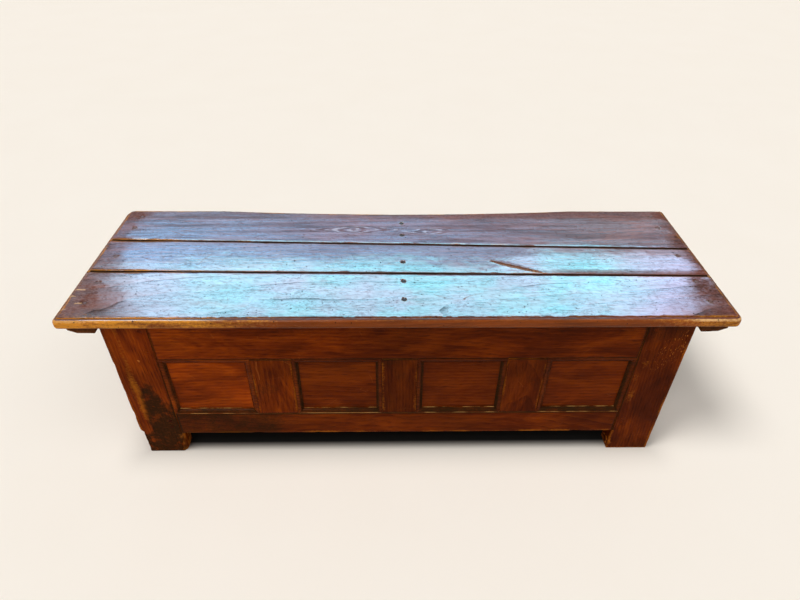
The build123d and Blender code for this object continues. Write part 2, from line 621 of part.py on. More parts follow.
def carcase_nodes():
    """The chest itself: posts, rails, muntins, panels, mouldings and pegs."""
    nodes = {}
    sides = {
        "front": (FRONT, FRONT_MUNTIN_WIDTHS),
        "back": (BACK, BACK_MUNTIN_WIDTHS),
    }
    driven_nails = floor_nails(NAIL_CLEARANCE)
    for x in HINGES.values():
        driven_nails += back_strap_nails(x, NAIL_CLEARANCE)
    loose_pegs = {}
    for side, (face, widths) in sides.items():
        loose_pegs[side] = rail_pegs(face, LONG_SPAN, LONG_RAIL_TENON, NAIL_CLEARANCE)
        cuts = loose_pegs[side] + driven_nails
        muntins, openings = muntin_places(widths)
        for level, height in (("top", TOP_RAIL), ("bottom", BOTTOM_RAIL)):
            nodes[f"{side}_{level}_rail"] = make_rail(
                face, LONG_SPAN, height, LONG_RAIL_THICKNESS, LONG_RAIL_TENON, muntins, cuts
            )
        for number, span in enumerate(muntins, 1):
            nodes[f"{side}_muntin_{number}"] = make_muntin(face, span)
        for number, span in enumerate(openings, 1):
            nodes[f"{side}_panel_{number}"] = make_panel(face, span)
            if side == "front":
                nodes[f"front_moulding_{number}"] = make_moulding(span)
        nodes[f"{side}_pegs"] = Compound(rail_pegs(face, LONG_SPAN, LONG_RAIL_TENON))
    end_pegs = []
    for side, face in (("left", LEFT), ("right", RIGHT)):
        loose_pegs[side] = rail_pegs(face, END_SPAN, END_RAIL_TENON, NAIL_CLEARANCE)
        cuts = loose_pegs[side] + driven_nails
        for level, height in (("top", TOP_RAIL), ("bottom", BOTTOM_RAIL)):
            nodes[f"{side}_{level}_rail"] = make_rail(
                face, END_SPAN, height, END_RAIL_THICKNESS, END_RAIL_TENON, (), cuts
            )
        nodes[f"{side}_panel"] = make_panel(face, END_SPAN)
        end_pegs += rail_pegs(face, END_SPAN, END_RAIL_TENON)
    nodes["end_pegs"] = Compound(end_pegs)
    posts_x = {"left": (LEFT, CHEST_LEFT, LONG_SPAN[0]), "right": (RIGHT, LONG_SPAN[1], CHEST_RIGHT)}
    posts_y = {"front": (FRONT, CHEST_FRONT, END_SPAN[0]), "back": (BACK, END_SPAN[1], CHEST_BACK)}
    for depth, (long_face, *y) in posts_y.items():
        for side, (end_face, *x) in posts_x.items():
            cuts = loose_pegs[depth] + loose_pegs[side]
            nodes[f"{depth}_{side}_post"] = make_post(x, y, long_face, end_face, cuts)
    return nodes


def floor_nodes():
    """The floor: ledges, boards and nails."""
    driven_nails = floor_nails(NAIL_CLEARANCE)
    nodes = {name: ledge - driven_nails for name, ledge in floor_ledges().items()}
    for number, board in enumerate(floor_boards(), 1):
        nodes[f"floor_board_{number}"] = board - driven_nails
    nodes["floor_nails"] = Compound(floor_nails())
    return nodes


def lid_nodes():
    """The lid: boards, cleats and nails."""
    driven_nails = lid_nails(NAIL_CLEARANCE)
    nodes = dict(zip(("lid_front_board", "lid_middle_board", "lid_back_board"), lid_boards()))
    nodes["lid_left_cleat"] = end_cleat(-1) - driven_nails
    nodes["lid_right_cleat"] = end_cleat(1) - driven_nails
    nodes["lid_centre_cleat"] = centre_cleat() - driven_nails
    nodes["lid_nails"] = Compound(lid_nails())
    return nodes


def hinge_nodes():
    """The two strap hinges, with their pins and nails."""
    nodes = {}
    for side, x in HINGES.items():
        nodes[f"{side}_hinge_lid_strap"] = make_lid_strap(x)
        nodes[f"{side}_hinge_back_strap"] = make_back_strap(x)
    nodes["hinge_pins"] = Compound([make_pin(x) for x in HINGES.values()])
    nodes["hinge_lid_nails"] = Compound([one for x in HINGES.values() for one in lid_strap_nails(x)])
    nodes["hinge_back_nails"] = Compound([one for x in HINGES.values() for one in back_strap_nails(x)])
    return nodes


os.makedirs("parts", exist_ok=True)
for name, shape in {**carcase_nodes(), **floor_nodes(), **lid_nodes(), **hinge_nodes()}.items():
    export_step(shape, f"parts/{name}.step")
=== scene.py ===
"""The looks of an antique blanket chest: worn boards, old varnish, iron and soft light."""
import json
import math

import bmesh
import bpy
from mathutils import Matrix, Vector, noise

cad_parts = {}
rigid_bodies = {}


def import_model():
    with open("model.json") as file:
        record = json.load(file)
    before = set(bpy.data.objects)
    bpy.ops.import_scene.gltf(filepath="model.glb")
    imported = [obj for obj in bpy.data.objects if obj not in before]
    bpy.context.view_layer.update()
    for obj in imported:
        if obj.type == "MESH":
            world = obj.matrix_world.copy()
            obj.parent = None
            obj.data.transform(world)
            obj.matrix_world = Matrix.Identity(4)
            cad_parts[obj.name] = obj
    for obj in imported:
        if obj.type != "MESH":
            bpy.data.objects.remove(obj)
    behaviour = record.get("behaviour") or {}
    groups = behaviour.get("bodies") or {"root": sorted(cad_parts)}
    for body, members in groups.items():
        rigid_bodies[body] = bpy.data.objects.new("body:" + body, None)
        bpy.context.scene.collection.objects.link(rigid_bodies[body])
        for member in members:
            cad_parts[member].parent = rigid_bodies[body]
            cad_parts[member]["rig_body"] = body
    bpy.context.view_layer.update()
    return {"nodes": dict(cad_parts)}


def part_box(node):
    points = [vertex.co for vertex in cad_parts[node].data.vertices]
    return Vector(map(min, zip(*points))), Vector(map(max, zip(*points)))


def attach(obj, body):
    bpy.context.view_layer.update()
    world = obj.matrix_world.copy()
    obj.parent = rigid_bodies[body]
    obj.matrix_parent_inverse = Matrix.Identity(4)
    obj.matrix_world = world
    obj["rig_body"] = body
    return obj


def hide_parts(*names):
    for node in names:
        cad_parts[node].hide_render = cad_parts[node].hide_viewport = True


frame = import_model()

MM = 0.001


def add_object(name, data):
    """An object of the scene that shows the data."""
    made = bpy.data.objects.new(name, data)
    bpy.context.scene.collection.objects.link(made)
    return made


# Camera, as it stood for the photograph

CAMERA_PLACE = Vector((-0.0253, -1.1895, 1.2699))
CAMERA_LENS = 25.98
CAMERA_SENSOR = 36.0
CAMERA_PITCH = math.radians(37.90)
CAMERA_YAW = math.radians(-1.346)
CAMERA_ROLL = math.radians(0.698)


def place_camera():
    """Looks down at the chest from the front, with the photograph's small turn and tilt."""
    data = bpy.data.cameras.new("camera")
    data.lens = CAMERA_LENS
    data.sensor_width = CAMERA_SENSOR
    data.clip_end = 60
    camera = add_object("camera", data)
    level = Matrix.Rotation(CAMERA_YAW, 4, "Z") @ Matrix.Rotation(math.radians(90) - CAMERA_PITCH, 4, "X")
    camera.matrix_world = Matrix.Translation(CAMERA_PLACE) @ level @ Matrix.Rotation(CAMERA_ROLL, 4, "Z")
    bpy.context.scene.camera = camera


# Small shared sums


def srgb(red, green, blue):
    """A colour given as 0 to 255 per channel, as the shader wants it."""
    channels = [value / 255 for value in (red, green, blue)]
    return [c / 12.92 if c <= 0.04045 else ((c + 0.055) / 1.055) ** 2.4 for c in channels] + [1.0]


def fade(value, start, end):
    """0 at start and 1 at end, smooth between. Start may lie above end."""
    share = min(max((value - start) / (end - start), 0.0), 1.0)
    return share * share * (3 - 2 * share)


def cloud(place, size, seed=0.0):
    """A smooth random value from 0 to 1, in lumps of about the given size in metres."""
    return 0.5 + 0.5 * noise.noise(place / size + Vector((seed, seed * 1.7, seed * 0.6)))


def blot(place, centre, reach, seed=0.0, up=2):
    """1 inside a ragged patch, 0 outside it. Centre and reach are (x, z), or (x, y) with up=1."""
    across = (place.x - centre[0]) / reach[0]
    along = (place[up] - centre[1]) / reach[1]
    ragged = 0.55 * (cloud(place, 0.03, seed) - 0.5) + 0.35 * (cloud(place, 0.011, seed + 5) - 0.5)
    return fade(math.hypot(across, along) + ragged, 1.05, 0.75)


def off_line(place, path):
    """Distance in the plan from a path of (x, y) points, and how far along it, from 0 to 1."""
    best = (1e9, 0.0)
    spans = len(path) - 1
    for number in range(spans):
        start = Vector(path[number])
        run = Vector(path[number + 1]) - start
        share = min(max((Vector(place[:2]) - start).dot(run) / run.length_squared, 0.0), 1.0)
        gap = (Vector(place[:2]) - start - run * share).length
        best = min(best, (gap, (number + share) / spans))
    return best


def low(node):
    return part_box(node)[0]


def high(node):
    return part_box(node)[1]


# Places read from the frame

LID_LOW = low("lid_front_board")
LID_HIGH = high("lid_back_board")
LID_TOP = LID_HIGH.z
FRONT = low("front_left_post").y
BACK = high("back_left_post").y
CHEST_LEFT = low("front_left_post").x
CHEST_RIGHT = high("front_right_post").x
LEFT_JOINT = high("front_left_post").x
RIGHT_JOINT = low("front_right_post").x
OPENING_LOW = high("front_bottom_rail").z
OPENING_HIGH = low("front_top_rail").z
FOOT_HIGH = low("front_bottom_rail").z

# The tapered seams of the lid

CORNER_REACH = 60 * MM
CORNER_DEPTH = 8 * MM


def rear_edge(node):
    """Y of a lid board's rear edge at its left and right end, from the corners of its top."""
    points = [v.co for v in frame["nodes"][node].data.vertices if v.co.z > LID_TOP - CORNER_DEPTH]
    left = max(p.y for p in points if p.x < LID_LOW.x + CORNER_REACH)
    right = max(p.y for p in points if p.x > LID_HIGH.x - CORNER_REACH)
    return left, right


SEAMS = {"front": rear_edge("lid_front_board"), "back": rear_edge("lid_middle_board")}


def seam_y(seam, x):
    left, right = SEAMS[seam]
    return left + (right - left) * (x - LID_LOW.x) / (LID_HIGH.x - LID_LOW.x)


# Worn meshes

# The grime mask also holds painted shade, and the worn and fresh masks also hold a painted highlight along
# the lid's nosing.
MASKS = ("worn", "grime", "fresh", "dry", "dull", "flecks", "golden")
SHARP_EDGE = math.radians(28)
LEVEL_FACES = math.radians(0.5)


def merged_copy(node):
    """A bmesh of a CAD node with its loose triangles joined into whole faces."""
    bm = bmesh.new()
    bm.from_mesh(frame["nodes"][node].data)
    bmesh.ops.remove_doubles(bm, verts=bm.verts, dist=0.005 * MM)
    bmesh.ops.dissolve_limit(bm, angle_limit=LEVEL_FACES, verts=bm.verts, edges=bm.edges)
    return bm


def cut_net(bm, pitch):
    """Cuts the mesh into a net of faces about a pitch wide, so that wear has points to move."""
    coarse = 8 * pitch
    for axis in range(3):
        first = min(v.co[axis] for v in bm.verts)
        span = max(v.co[axis] for v in bm.verts) - first
        count = int(round(span / coarse))
        across = Vector([1.0 if number == axis else 0.0 for number in range(3)])
        for step in range(1, count):
            geometry = bm.verts[:] + bm.edges[:] + bm.faces[:]
            place = across * (first + span * step / count)
            bmesh.ops.bisect_plane(bm, geom=geometry, dist=0.08 * MM, plane_co=place, plane_no=across)
    bmesh.ops.triangulate(bm, faces=[face for face in bm.faces if len(face.verts) > 4])
    for halving in range(3):
        wide = [edge for edge in bm.edges if edge.calc_length() > 1.42 * pitch]
        bmesh.ops.subdivide_edges(bm, edges=wide, cuts=1, use_grid_fill=True)


def soften_arrises(bm, width, shortest):
    """Bevels the long sharp edges and marks the new faces, so that wear can find them later."""
    mark = bm.faces.layers.int.new("arris")
    sharp = [
        edge for edge in bm.edges
        if edge.calc_length() > shortest and edge.calc_face_angle(0.0) > SHARP_EDGE
    ]
    made = bmesh.ops.bevel(
        bm, geom=sharp, offset=width, offset_type="OFFSET", segments=2, profile=0.5,
        affect="EDGES", clamp_overlap=False, material=-1,
    )
    for face in made["faces"]:
        face[mark] = 1


def wear_surface(bm, hand, arris_wear, seed):
    """Moves each point inwards by its wear and paints the masks that the finishes read."""
    bm.normal_update()
    mark = bm.faces.layers.int["arris"]
    layers = {name: bm.verts.layers.float.new(name) for name in MASKS}
    arris = {vert for face in bm.faces if face[mark] for vert in face.verts}
    beside = {edge.other_vert(vert) for vert in arris for edge in vert.link_edges} - arris
    moves = []
    for vert in bm.verts:
        place = vert.co
        depth = 0.30 * MM * cloud(place, 0.16, seed) + 0.12 * MM * cloud(place, 0.022, seed + 3)
        masks = dict.fromkeys(MASKS, 0.0)
        if vert in arris or vert in beside:
            rubbed = 0.35 + 0.9 * fade(cloud(place, 0.05, seed + 11), 0.35, 0.75)
            masks["worn"] = rubbed * (0.8 if vert in arris else 0.35)
        if vert in arris:
            chip = fade(cloud(place, 0.035, seed + 9), 0.62, 0.80)
            depth += arris_wear * (0.15 + 0.5 * cloud(place, 0.012, seed + 7) + 0.9 * chip)
        depth += hand(place, vert.normal, masks)
        moves.append(vert.normal * -depth)
        for name, layer in layers.items():
            vert[layer] = min(max(masks[name], 0.0), 1.0)
    for vert, move in zip(bm.verts, moves):
        vert.co += move


def finish_mesh(bm, name, smooth_angle):
    """Turns a bmesh into an object at the origin with smooth faces and crisp corners."""
    wide = [face for face in bm.faces if len(face.verts) > 4]
    bmesh.ops.triangulate(bm, faces=wide)
    mesh = bpy.data.meshes.new(name)
    bm.to_mesh(mesh)
    bm.free()
    mesh.shade_smooth()
    mesh.set_sharp_from_angle(angle=smooth_angle)
    return add_object(name, mesh)


def worn_piece(node, pitch, hand, seed, arris=1.1 * MM, arris_wear=0.9 * MM, shortest=12 * MM, breaks=None):
    """A worn twin of a CAD node, which stands for it and rides on its body."""
    bm = merged_copy(node)
    soften_arrises(bm, arris, shortest)
    cut_net(bm, pitch)
    if breaks:
        for vert in bm.verts:
            vert.co = breaks(vert.co)
    wear_surface(bm, hand, arris_wear, seed)
    lowest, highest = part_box(node)
    for vert in bm.verts:
        vert.co = [min(max(value, least), most) for value, least, most in zip(vert.co, lowest, highest)]
    piece = finish_mesh(bm, node + "_worn", math.radians(40))
    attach(piece, frame["nodes"][node]["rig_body"])
    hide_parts(node)
    return piece


# What hands, shoes and years did to the lid

GOUGE = [(0.224, -0.0085), (0.258, -0.0265), (0.292, -0.0405), (0.339, -0.0600)]
GOUGE_WIDE = 4.3 * MM
GOUGE_DEEP = 2.4 * MM
SEAM_HALF = 1.5 * MM
LENS_END = -0.612
LENS_WIDE = 8 * MM
LENS_DEEP = 2.6 * MM
NOSE_WIDE = 11 * MM
END_RUBS = [(-0.727, -0.126), (-0.709, -0.176), (-0.741, -0.150), (-0.742, -0.197)]
RUB_REACH = (0.013, 0.0028)

# The shine is whole at the first of two places and lost at the second
LEFT_LOSS = (-0.655, -0.715)
RIGHT_LOSS = 0.662
RIGHT_LOSS_SLOPE = 0.15
MIDDLE_BOARD_LOSS = 0.722
REAR_STRIP = (54 * MM, 34 * MM)
DULL_BAND = (0.30, 0.42)
DULL_PATCH = ((-0.665, -0.155), (0.05, 0.06))
SOILED_PATCH = ((-0.672, -0.160), (0.05, 0.055))
RUBBED_CORNERS = [((-0.715, -0.222), (0.06, 0.018)), ((0.728, 0.115), (0.014, 0.035))]


def seam_wear(place, masks):
    """Rubbed rims along both seams, worn to long hollows near the left end."""
    depth = 0.0
    for seam in SEAMS:
        gap = abs(place.y - seam_y(seam, place.x)) - SEAM_HALF
        if gap > 25 * MM:
            continue
        rim = fade(gap, 4 * MM, 1 * MM) * fade(cloud(place, 0.035, 17), 0.35, 0.7)
        lens = fade(place.x, LENS_END + 30 * MM, LENS_END - 60 * MM)
        lens *= fade(place.x, LID_LOW.x, LID_LOW.x + 40 * MM)
        share = lens * fade(gap, LENS_WIDE * (0.4 + cloud(place, 0.05, 13)), 1 * MM)
        depth += LENS_DEEP * share
        masks["worn"] += 0.08 * rim + share
        masks["dull"] += 0.5 * share
        masks["grime"] += 0.8 * share * fade(cloud(place, 0.009, 19), 0.5, 0.7)
    return depth


def gouge_wear(place, masks):
    """A crooked dent across the middle board, with bruised pale lips."""
    gap, along = off_line(place, GOUGE)
    taper = math.sin(math.pi * min(max(along, 0.06), 0.94)) ** 0.4
    width = GOUGE_WIDE * taper * (0.6 + 0.8 * cloud(place, 0.012, 41))
    share = fade(gap, width, 0.3 * width)
    lip = fade(gap, 2.6 * width, 1.2 * width) * (1 - share)
    bruise = fade(gap, 0.6 * width, 0.2 * width)
    masks["fresh"] += 0.6 * bruise
    masks["grime"] += share - 0.8 * bruise
    masks["dull"] += share
    masks["worn"] += 0.25 * lip
    masks["dull"] += 0.5 * lip
    return GOUGE_DEEP * share - 0.25 * MM * lip


def varnish_loss(place, masks):
    """Where the shine of the lid has gone: its ends, its rear strip and a few old patches."""
    lumps = cloud(place, 0.045, 61) + 0.5 * (cloud(place, 0.016, 63) - 0.5)
    behind_seam = place.y - seam_y("front", place.x)
    on_middle = behind_seam > 0 and place.y < seam_y("back", place.x)
    loss_from = MIDDLE_BOARD_LOSS if on_middle else RIGHT_LOSS + RIGHT_LOSS_SLOPE * (place.y - LID_LOW.y)
    left = fade(place.x + 0.05 * (lumps - 0.5), *LEFT_LOSS)
    right = fade(place.x + 0.035 * (lumps - 0.5), loss_from - 32 * MM, loss_from + 30 * MM)
    masks["dull"] += 0.6 * left + 0.85 * right * fade(lumps, 0.1, 0.4)
    masks["grime"] += (0.25 * left + 0.35 * right) * fade(lumps, 0.40, 0.75)
    from_rear = LID_HIGH.y - place.y - 0.02 * (lumps - 0.5)
    rear = fade(from_rear, *REAR_STRIP)
    masks["dull"] += rear * (0.35 + 0.35 * fade(place.x, -0.1, 0.15))
    band = fade(behind_seam, 30 * MM, 12 * MM) * fade(behind_seam, 2 * MM, 6 * MM)
    masks["dull"] += 0.75 * band * fade(place.x, *DULL_BAND)
    masks["dull"] += 0.35 * blot(place, *DULL_PATCH, 5, 1)
    masks["grime"] += 0.12 * blot(place, *SOILED_PATCH, 6, 1)
    for number, (centre, reach) in enumerate(RUBBED_CORNERS):
        masks["worn"] += 0.35 * blot(place, centre, reach, 7 + number, 1) * cloud(place, 0.006, 65)
    for number, centre in enumerate(END_RUBS):
        masks["fresh"] += 0.7 * blot(place, centre, RUB_REACH, number, 1)


def lid_wear(place, normal, masks):
    """All that shows on a lid board: waves, seams with painted shade in their gaps, gouge, lost varnish,
    and the rubbed nosing with a painted highlight along its top and painted shade along its lower edge.
    """
    if normal.z < -0.5:
        masks["dry"] = 1.0
        masks["worn"] *= 0.3
        return 0.2 * MM * cloud(place, 0.05, 21)
    from_edge = min(place.y - LID_LOW.y, place.x - LID_LOW.x, LID_HIGH.x - place.x)
    near_seam = min(abs(place.y - seam_y(seam, place.x)) for seam in SEAMS)
    depth = 0.0
    if normal.z > 0.5 and place.z > LID_TOP - 3 * MM:
        depth += 0.22 * MM * cloud(Vector((place.x * 0.3, place.y, 0)), 0.05, 31)
        depth += seam_wear(place, masks) + gouge_wear(place, masks)
        varnish_loss(place, masks)
    # Painted shade with dirt: the walls of the seam gaps and the strips beside them are darkened.
    elif near_seam < 3 * MM and abs(normal.y) > 0.5:
        masks["grime"], masks["worn"] = 1.0, 0.0
    if near_seam < 8 * MM:
        masks["worn"] *= 0.12 + 0.88 * fade(place.x, -0.25, -0.6)
        masks["grime"] += 1.1 * fade(near_seam, 5.0 * MM, 3.2 * MM)
        masks["dull"] += fade(near_seam, 4.5 * MM, 3.0 * MM)
    left = fade(place.x, -0.15, -0.62)
    right = fade(place.x, 0.50, 0.70)
    if from_edge < NOSE_WIDE + 6 * MM:
        masks["worn"] *= 0.2 + 0.8 * max(left, right)
    if from_edge < NOSE_WIDE and normal.z < 0.9:
        masks["golden"] = 1.0
        masks["dull"] = 0.0
        long_lumps = cloud(Vector((place.x * 0.25, place.y, place.z)), 0.022, 51)
        # Worn varnish with a painted highlight: the nosing is paler and more golden towards both ends, and
        # a pale line runs along its top, brightest near the ends.
        masks["worn"] = (0.10 + max(0.85 * left, 0.6 * right)) * (0.35 + 1.1 * long_lumps)
        masks["worn"] += 0.45 * fade(place.z, LID_TOP - 8 * MM, LID_TOP - 3 * MM) * long_lumps
        painted_highlight_ends = fade(place.x, 0.60, 0.66) + 0.5 * fade(place.x, -0.60, -0.68)
        line = fade(abs(place.z - LID_TOP + 5 * MM), 4 * MM, 1 * MM)
        masks["fresh"] = painted_highlight_ends * line * (0.4 + 0.9 * long_lumps)
        # Painted shade: the nosing darkens along its lower edge.
        nose_underside_shade = fade(place.z, LID_LOW.z + 9 * MM, LID_LOW.z + 3 * MM)
        masks["grime"] = 0.5 * nose_underside_shade * cloud(place, 0.03, 57)
        depth += 0.4 * MM * cloud(place, 0.02, 53)
    return depth


# What years did to the carcase

LEFT_STAINS = [
    ((-0.612, 0.200), (0.026, 0.052)), ((-0.600, 0.130), (0.044, 0.080)),
    ((-0.580, 0.085), (0.034, 0.060)), ((-0.612, 0.035), (0.074, 0.068)),
]
STEP_HIGH = 84 * MM
STEP_DEEP = 8 * MM
SPLIT_HIGH = 70 * MM
SPLIT_WIDE = 10 * MM
STREAK_X = -0.636
STREAK_HALF = 9 * MM
LEFT_NICK = ((-0.607, 0.332), (0.0025, 0.004))
FLECKS_X = 0.60
FLECKS_HIGH = 0.33
FLECKS_SLOPE = 0.9
RIGHT_SCUFFS = [((0.576, 0.28), (0.016, 0.08)), ((0.569, 0.20), (0.012, 0.06))]
STAINED_RAIL_END = (-0.22, -0.34)


def joint_lines(place, masks, upright, level):
    """Dark lines of old polish where the flush pieces of the front meet."""
    gaps = [abs(place.x - LEFT_JOINT), abs(place.x - RIGHT_JOINT)] if upright else []
    if level:
        gaps += [abs(place.z - OPENING_LOW), abs(place.z - OPENING_HIGH)]
    gap = min(gaps)
    if gap < 9 * MM:
        masks["worn"] *= 0.15
        masks["grime"] += 0.9 * fade(gap, 2.6 * MM, 1.2 * MM)
        masks["grime"] += 0.5 * fade(gap, 6 * MM, 1 * MM) * fade(cloud(place, 0.03, 71), 0.4, 0.7)


def inside(place, normal):
    """True for a face that looks into the chest."""
    if abs(normal.y) > 0.6:
        return normal.y * place.y < 0
    if abs(normal.x) > 0.6 and abs(place.x) > 0.6:
        return normal.x * place.x < 0
    return normal.z > 0.6 and place.z < 0.2


def dry_faces(place, normal, masks):
    """The inside and the back were never varnished."""
    if inside(place, normal):
        masks["dry"] = 1.0
    elif normal.y > 0.5 and place.y > BACK - 20 * MM:
        masks["dry"] = 0.55


def frame_wear(place, normal, masks):
    """What every post, rail and muntin has: dry inner faces, soiled feet, waves of the plane, and painted
    shade high up under the lid.
    """
    dry_faces(place, normal, masks)
    masks["grime"] += 0.45 * fade(place.z, 70 * MM, 5 * MM) * cloud(place, 0.03, 73)
    masks["fresh"] += 0.6 * fade(place.z, 9 * MM, 1 * MM) * fade(cloud(place, 0.012, 75), 0.5, 0.75)
    # Painted shade: darker high up, under the lid's overhang.
    shade = fade(place.z, OPENING_HIGH + 30 * MM, LID_LOW.z) * fade(cloud(place, 0.09, 77), 0.3, 0.7)
    masks["grime"] += 0.25 * shade
    return 0.1 * MM * cloud(place, 0.04, 79)


def post_wear(place, normal, masks):
    depth = frame_wear(place, normal, masks)
    if normal.y < -0.3 and place.z > FOOT_HIGH:
        joint_lines(place, masks, True, False)
    return depth


def rail_wear(place, normal, masks):
    depth = frame_wear(place, normal, masks)
    if normal.y < -0.3:
        joint_lines(place, masks, True, True)
    return depth


def muntin_wear(place, normal, masks):
    depth = frame_wear(place, normal, masks)
    if normal.y < -0.3:
        joint_lines(place, masks, False, True)
        masks["worn"] *= 0.5
        masks["grime"] += 0.35 * fade(cloud(place, 0.05, 83), 0.5, 0.8)
    return depth


def left_post_wear(place, normal, masks):
    """Stained low down, with an orange streak up its front and dark polish down its outer side."""
    depth = post_wear(place, normal, masks)
    if normal.y < -0.3:
        for number, (centre, reach) in enumerate(LEFT_STAINS):
            stain = blot(place, centre, reach, number)
            speckle = cloud(place, 0.013, 85) + 0.3 * cloud(place, 0.005, 86)
            masks["grime"] += 0.95 * stain * fade(speckle, 0.15, 0.7)
        line = STREAK_X + 0.008 * (cloud(place, 0.08, 87) - 0.5)
        wide = STREAK_HALF + 8 * MM * fade(place.z, 0.34, 0.22)
        streak = fade(abs(place.x - line), wide, 0.2 * wide) * fade(place.z, 0.09, 0.17)
        fibres = cloud(Vector((place.x, place.y, place.z * 0.15)), 0.006, 82)
        lumps = 0.1 + 0.8 * cloud(place, 0.018, 81) + 0.9 * fibres
        masks["worn"] += streak * (0.35 + 0.30 * fade(place.z, 0.34, 0.24)) * lumps
        side = fade(place.x, CHEST_LEFT + 15 * MM, CHEST_LEFT + 5 * MM)
        masks["grime"] += 0.5 * side * cloud(place, 0.05, 89)
        masks["fresh"] += blot(place, *LEFT_NICK)
    if place.z < SPLIT_HIGH and place.x > LEFT_JOINT - SPLIT_WIDE and normal.x - normal.y > 0.9:
        splinters = cloud(Vector((place.x, place.y, place.z * 0.3)), 0.007, 91)
        masks["fresh"] += 0.9 * fade(splinters, 0.4, 0.6)
        masks["grime"] = 0.5 * masks["grime"] + 0.2
    return depth


def break_left_foot(place):
    """The outer edge of the left foot steps in low down, and its inner arris has split away."""
    wavy = place.z + 4 * MM * cloud(place, 0.02, 93)
    step = STEP_DEEP * fade(wavy, STEP_HIGH + 3 * MM, STEP_HIGH - 3 * MM)
    edge = CHEST_LEFT + step * (0.85 + 0.3 * cloud(place, 0.015, 95))
    moved = Vector((max(place.x, edge), place.y, place.z))
    if place.z < SPLIT_HIGH:
        ragged = 0.6 + 0.8 * cloud(place, 0.014, 97)
        wide = SPLIT_WIDE * (0.35 + 0.65 * fade(place.z, SPLIT_HIGH, 0)) * ragged
        short = wide - (LEFT_JOINT - moved.x) - (moved.y - FRONT)
        if short > 0:
            moved += Vector((-0.5, 0.5, 0.0)) * short
    return moved


def right_post_wear(place, normal, masks):
    """A spray of small light flecks high up, painted shade at its top under the lid, and a chipped foot."""
    depth = post_wear(place, normal, masks)
    if normal.y < -0.3:
        spray = FLECKS_HIGH + FLECKS_SLOPE * (place.x - FLECKS_X)
        masks["flecks"] = fade(abs(place.z - spray), 0.07, 0.02) * fade(place.x, 0.585, 0.625)
        for number, (centre, reach) in enumerate(RIGHT_SCUFFS):
            scuff = blot(place, centre, reach, 3 + number)
            masks["worn"] += 0.4 * scuff * cloud(place, 0.03, 99) ** 2
        # Painted shade: darker at the top, under the lid's overhang.
        masks["grime"] += 0.3 * fade(place.z, 0.36, 0.42)
    inner = fade(place.x, RIGHT_JOINT + 14 * MM, RIGHT_JOINT + 2 * MM) * fade(place.z, 0.055, 0.02)
    masks["fresh"] += 0.8 * inner * fade(cloud(place, 0.010, 101), 0.5, 0.65)
    return depth


def break_right_foot(place):
    """Chips off the inner arris of the right foot."""
    chip = 7 * MM * fade(place.z, 0.06, 0.01) * fade(cloud(place, 0.016, 103), 0.35, 0.7)
    short = chip - (place.x - RIGHT_JOINT) - (place.y - FRONT)
    return place + Vector((0.5, 0.5, 0.0)) * short if short > 0 else place.copy()


def stained_rail_wear(place, normal, masks):
    """The front bottom rail is nearly black along its left third."""
    depth = rail_wear(place, normal, masks)
    if normal.y < -0.3:
        edge = place.x + 0.12 * (cloud(place, 0.06, 105) - 0.5)
        masks["grime"] += 0.75 * fade(edge, *STAINED_RAIL_END) * (0.5 + 0.7 * cloud(place, 0.022, 107))
    return depth


def panel_wear(place, normal, masks):
    """Darker along the top and bottom edges of a panel, next to the mouldings: old polish with painted
    shade.
    """
    dry_faces(place, normal, masks)
    if normal.y < -0.3:
        # Painted shade with old polish: darker near the top and bottom mouldings.
        gap = min(place.z - OPENING_LOW, OPENING_HIGH - place.z)
        masks["grime"] += 0.5 * fade(gap, 22 * MM, 14 * MM) * cloud(place, 0.02, 109)
    return 0.25 * MM * cloud(place, 0.06, 111)


# Side strips that get only a quarter of the painted shade and polish in their hollows.
QUIET_STRIPS = {"front_moulding_1": "right", "front_moulding_4": "left"}


def moulding_hand(node):
    """Polish and painted shade darken the hollows of most side strips and the panel side of the top strip,
    and the arrises of the low strip are rubbed pale.
    """
    lowest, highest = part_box(node)

    def hand(place, normal, masks):
        side_gap = min(place.x - lowest.x, highest.x - place.x)
        low_gap, top_gap = place.z - lowest.z, highest.z - place.z
        gap = min(side_gap, low_gap, top_gap)
        lumps = cloud(place, 0.03, 115)
        masks["worn"] = 0.0
        # Painted shade with polish: the strips are darkened in their hollows, towards the panel.
        if gap == side_gap:
            side = "left" if place.x < (lowest.x + highest.x) / 2 else "right"
            filled = 0.12 + 0.8 * fade(gap, 6 * MM, 10 * MM) * (0.6 + 0.6 * lumps)
            masks["grime"] += filled * (0.25 if side == QUIET_STRIPS.get(node) else 1.0)
        elif gap == top_gap:
            masks["grime"] += 0.06 + 0.6 * fade(gap, 11 * MM, 14 * MM)
        else:
            line = max(fade(gap, 2.0 * MM, 0.4 * MM), fade(gap, 13.0 * MM, 14.6 * MM))
            masks["fresh"] = 0.85 * line * (0.25 + 0.75 * fade(cloud(place, 0.03, 113), 0.35, 0.65))
            masks["grime"] += (1 - line) * (0.5 + 0.6 * lumps)
        return 0.2 * MM * cloud(place, 0.008, 117)

    return hand


def plain_wear(place, normal, masks):
    """Pieces out of the weather: dry wood, a little soiled."""
    masks["dry"] = 1.0
    masks["grime"] += 0.25 * cloud(place, 0.05, 121)
    return 0.0


def cleat_wear(place, normal, masks):
    """Cleats are dry and darkened all over."""
    masks["dry"] = 0.5
    masks["grime"] += 0.35 + 0.3 * cloud(place, 0.03, 123)
    return 0.2 * MM * cloud(place, 0.03, 125)


def nail_wear(place, normal, masks):
    """Hammered heads, worn smaller than they were made, and varnished over at the ends of the lid."""
    masks["golden"] = fade(abs(place.x), 0.1, 0.3)
    if abs(normal.z) < 0.7:
        return 1.5 * MM + 0.8 * MM * cloud(place, 0.004, 135)
    return 0.15 * MM * cloud(place, 0.003, 137)


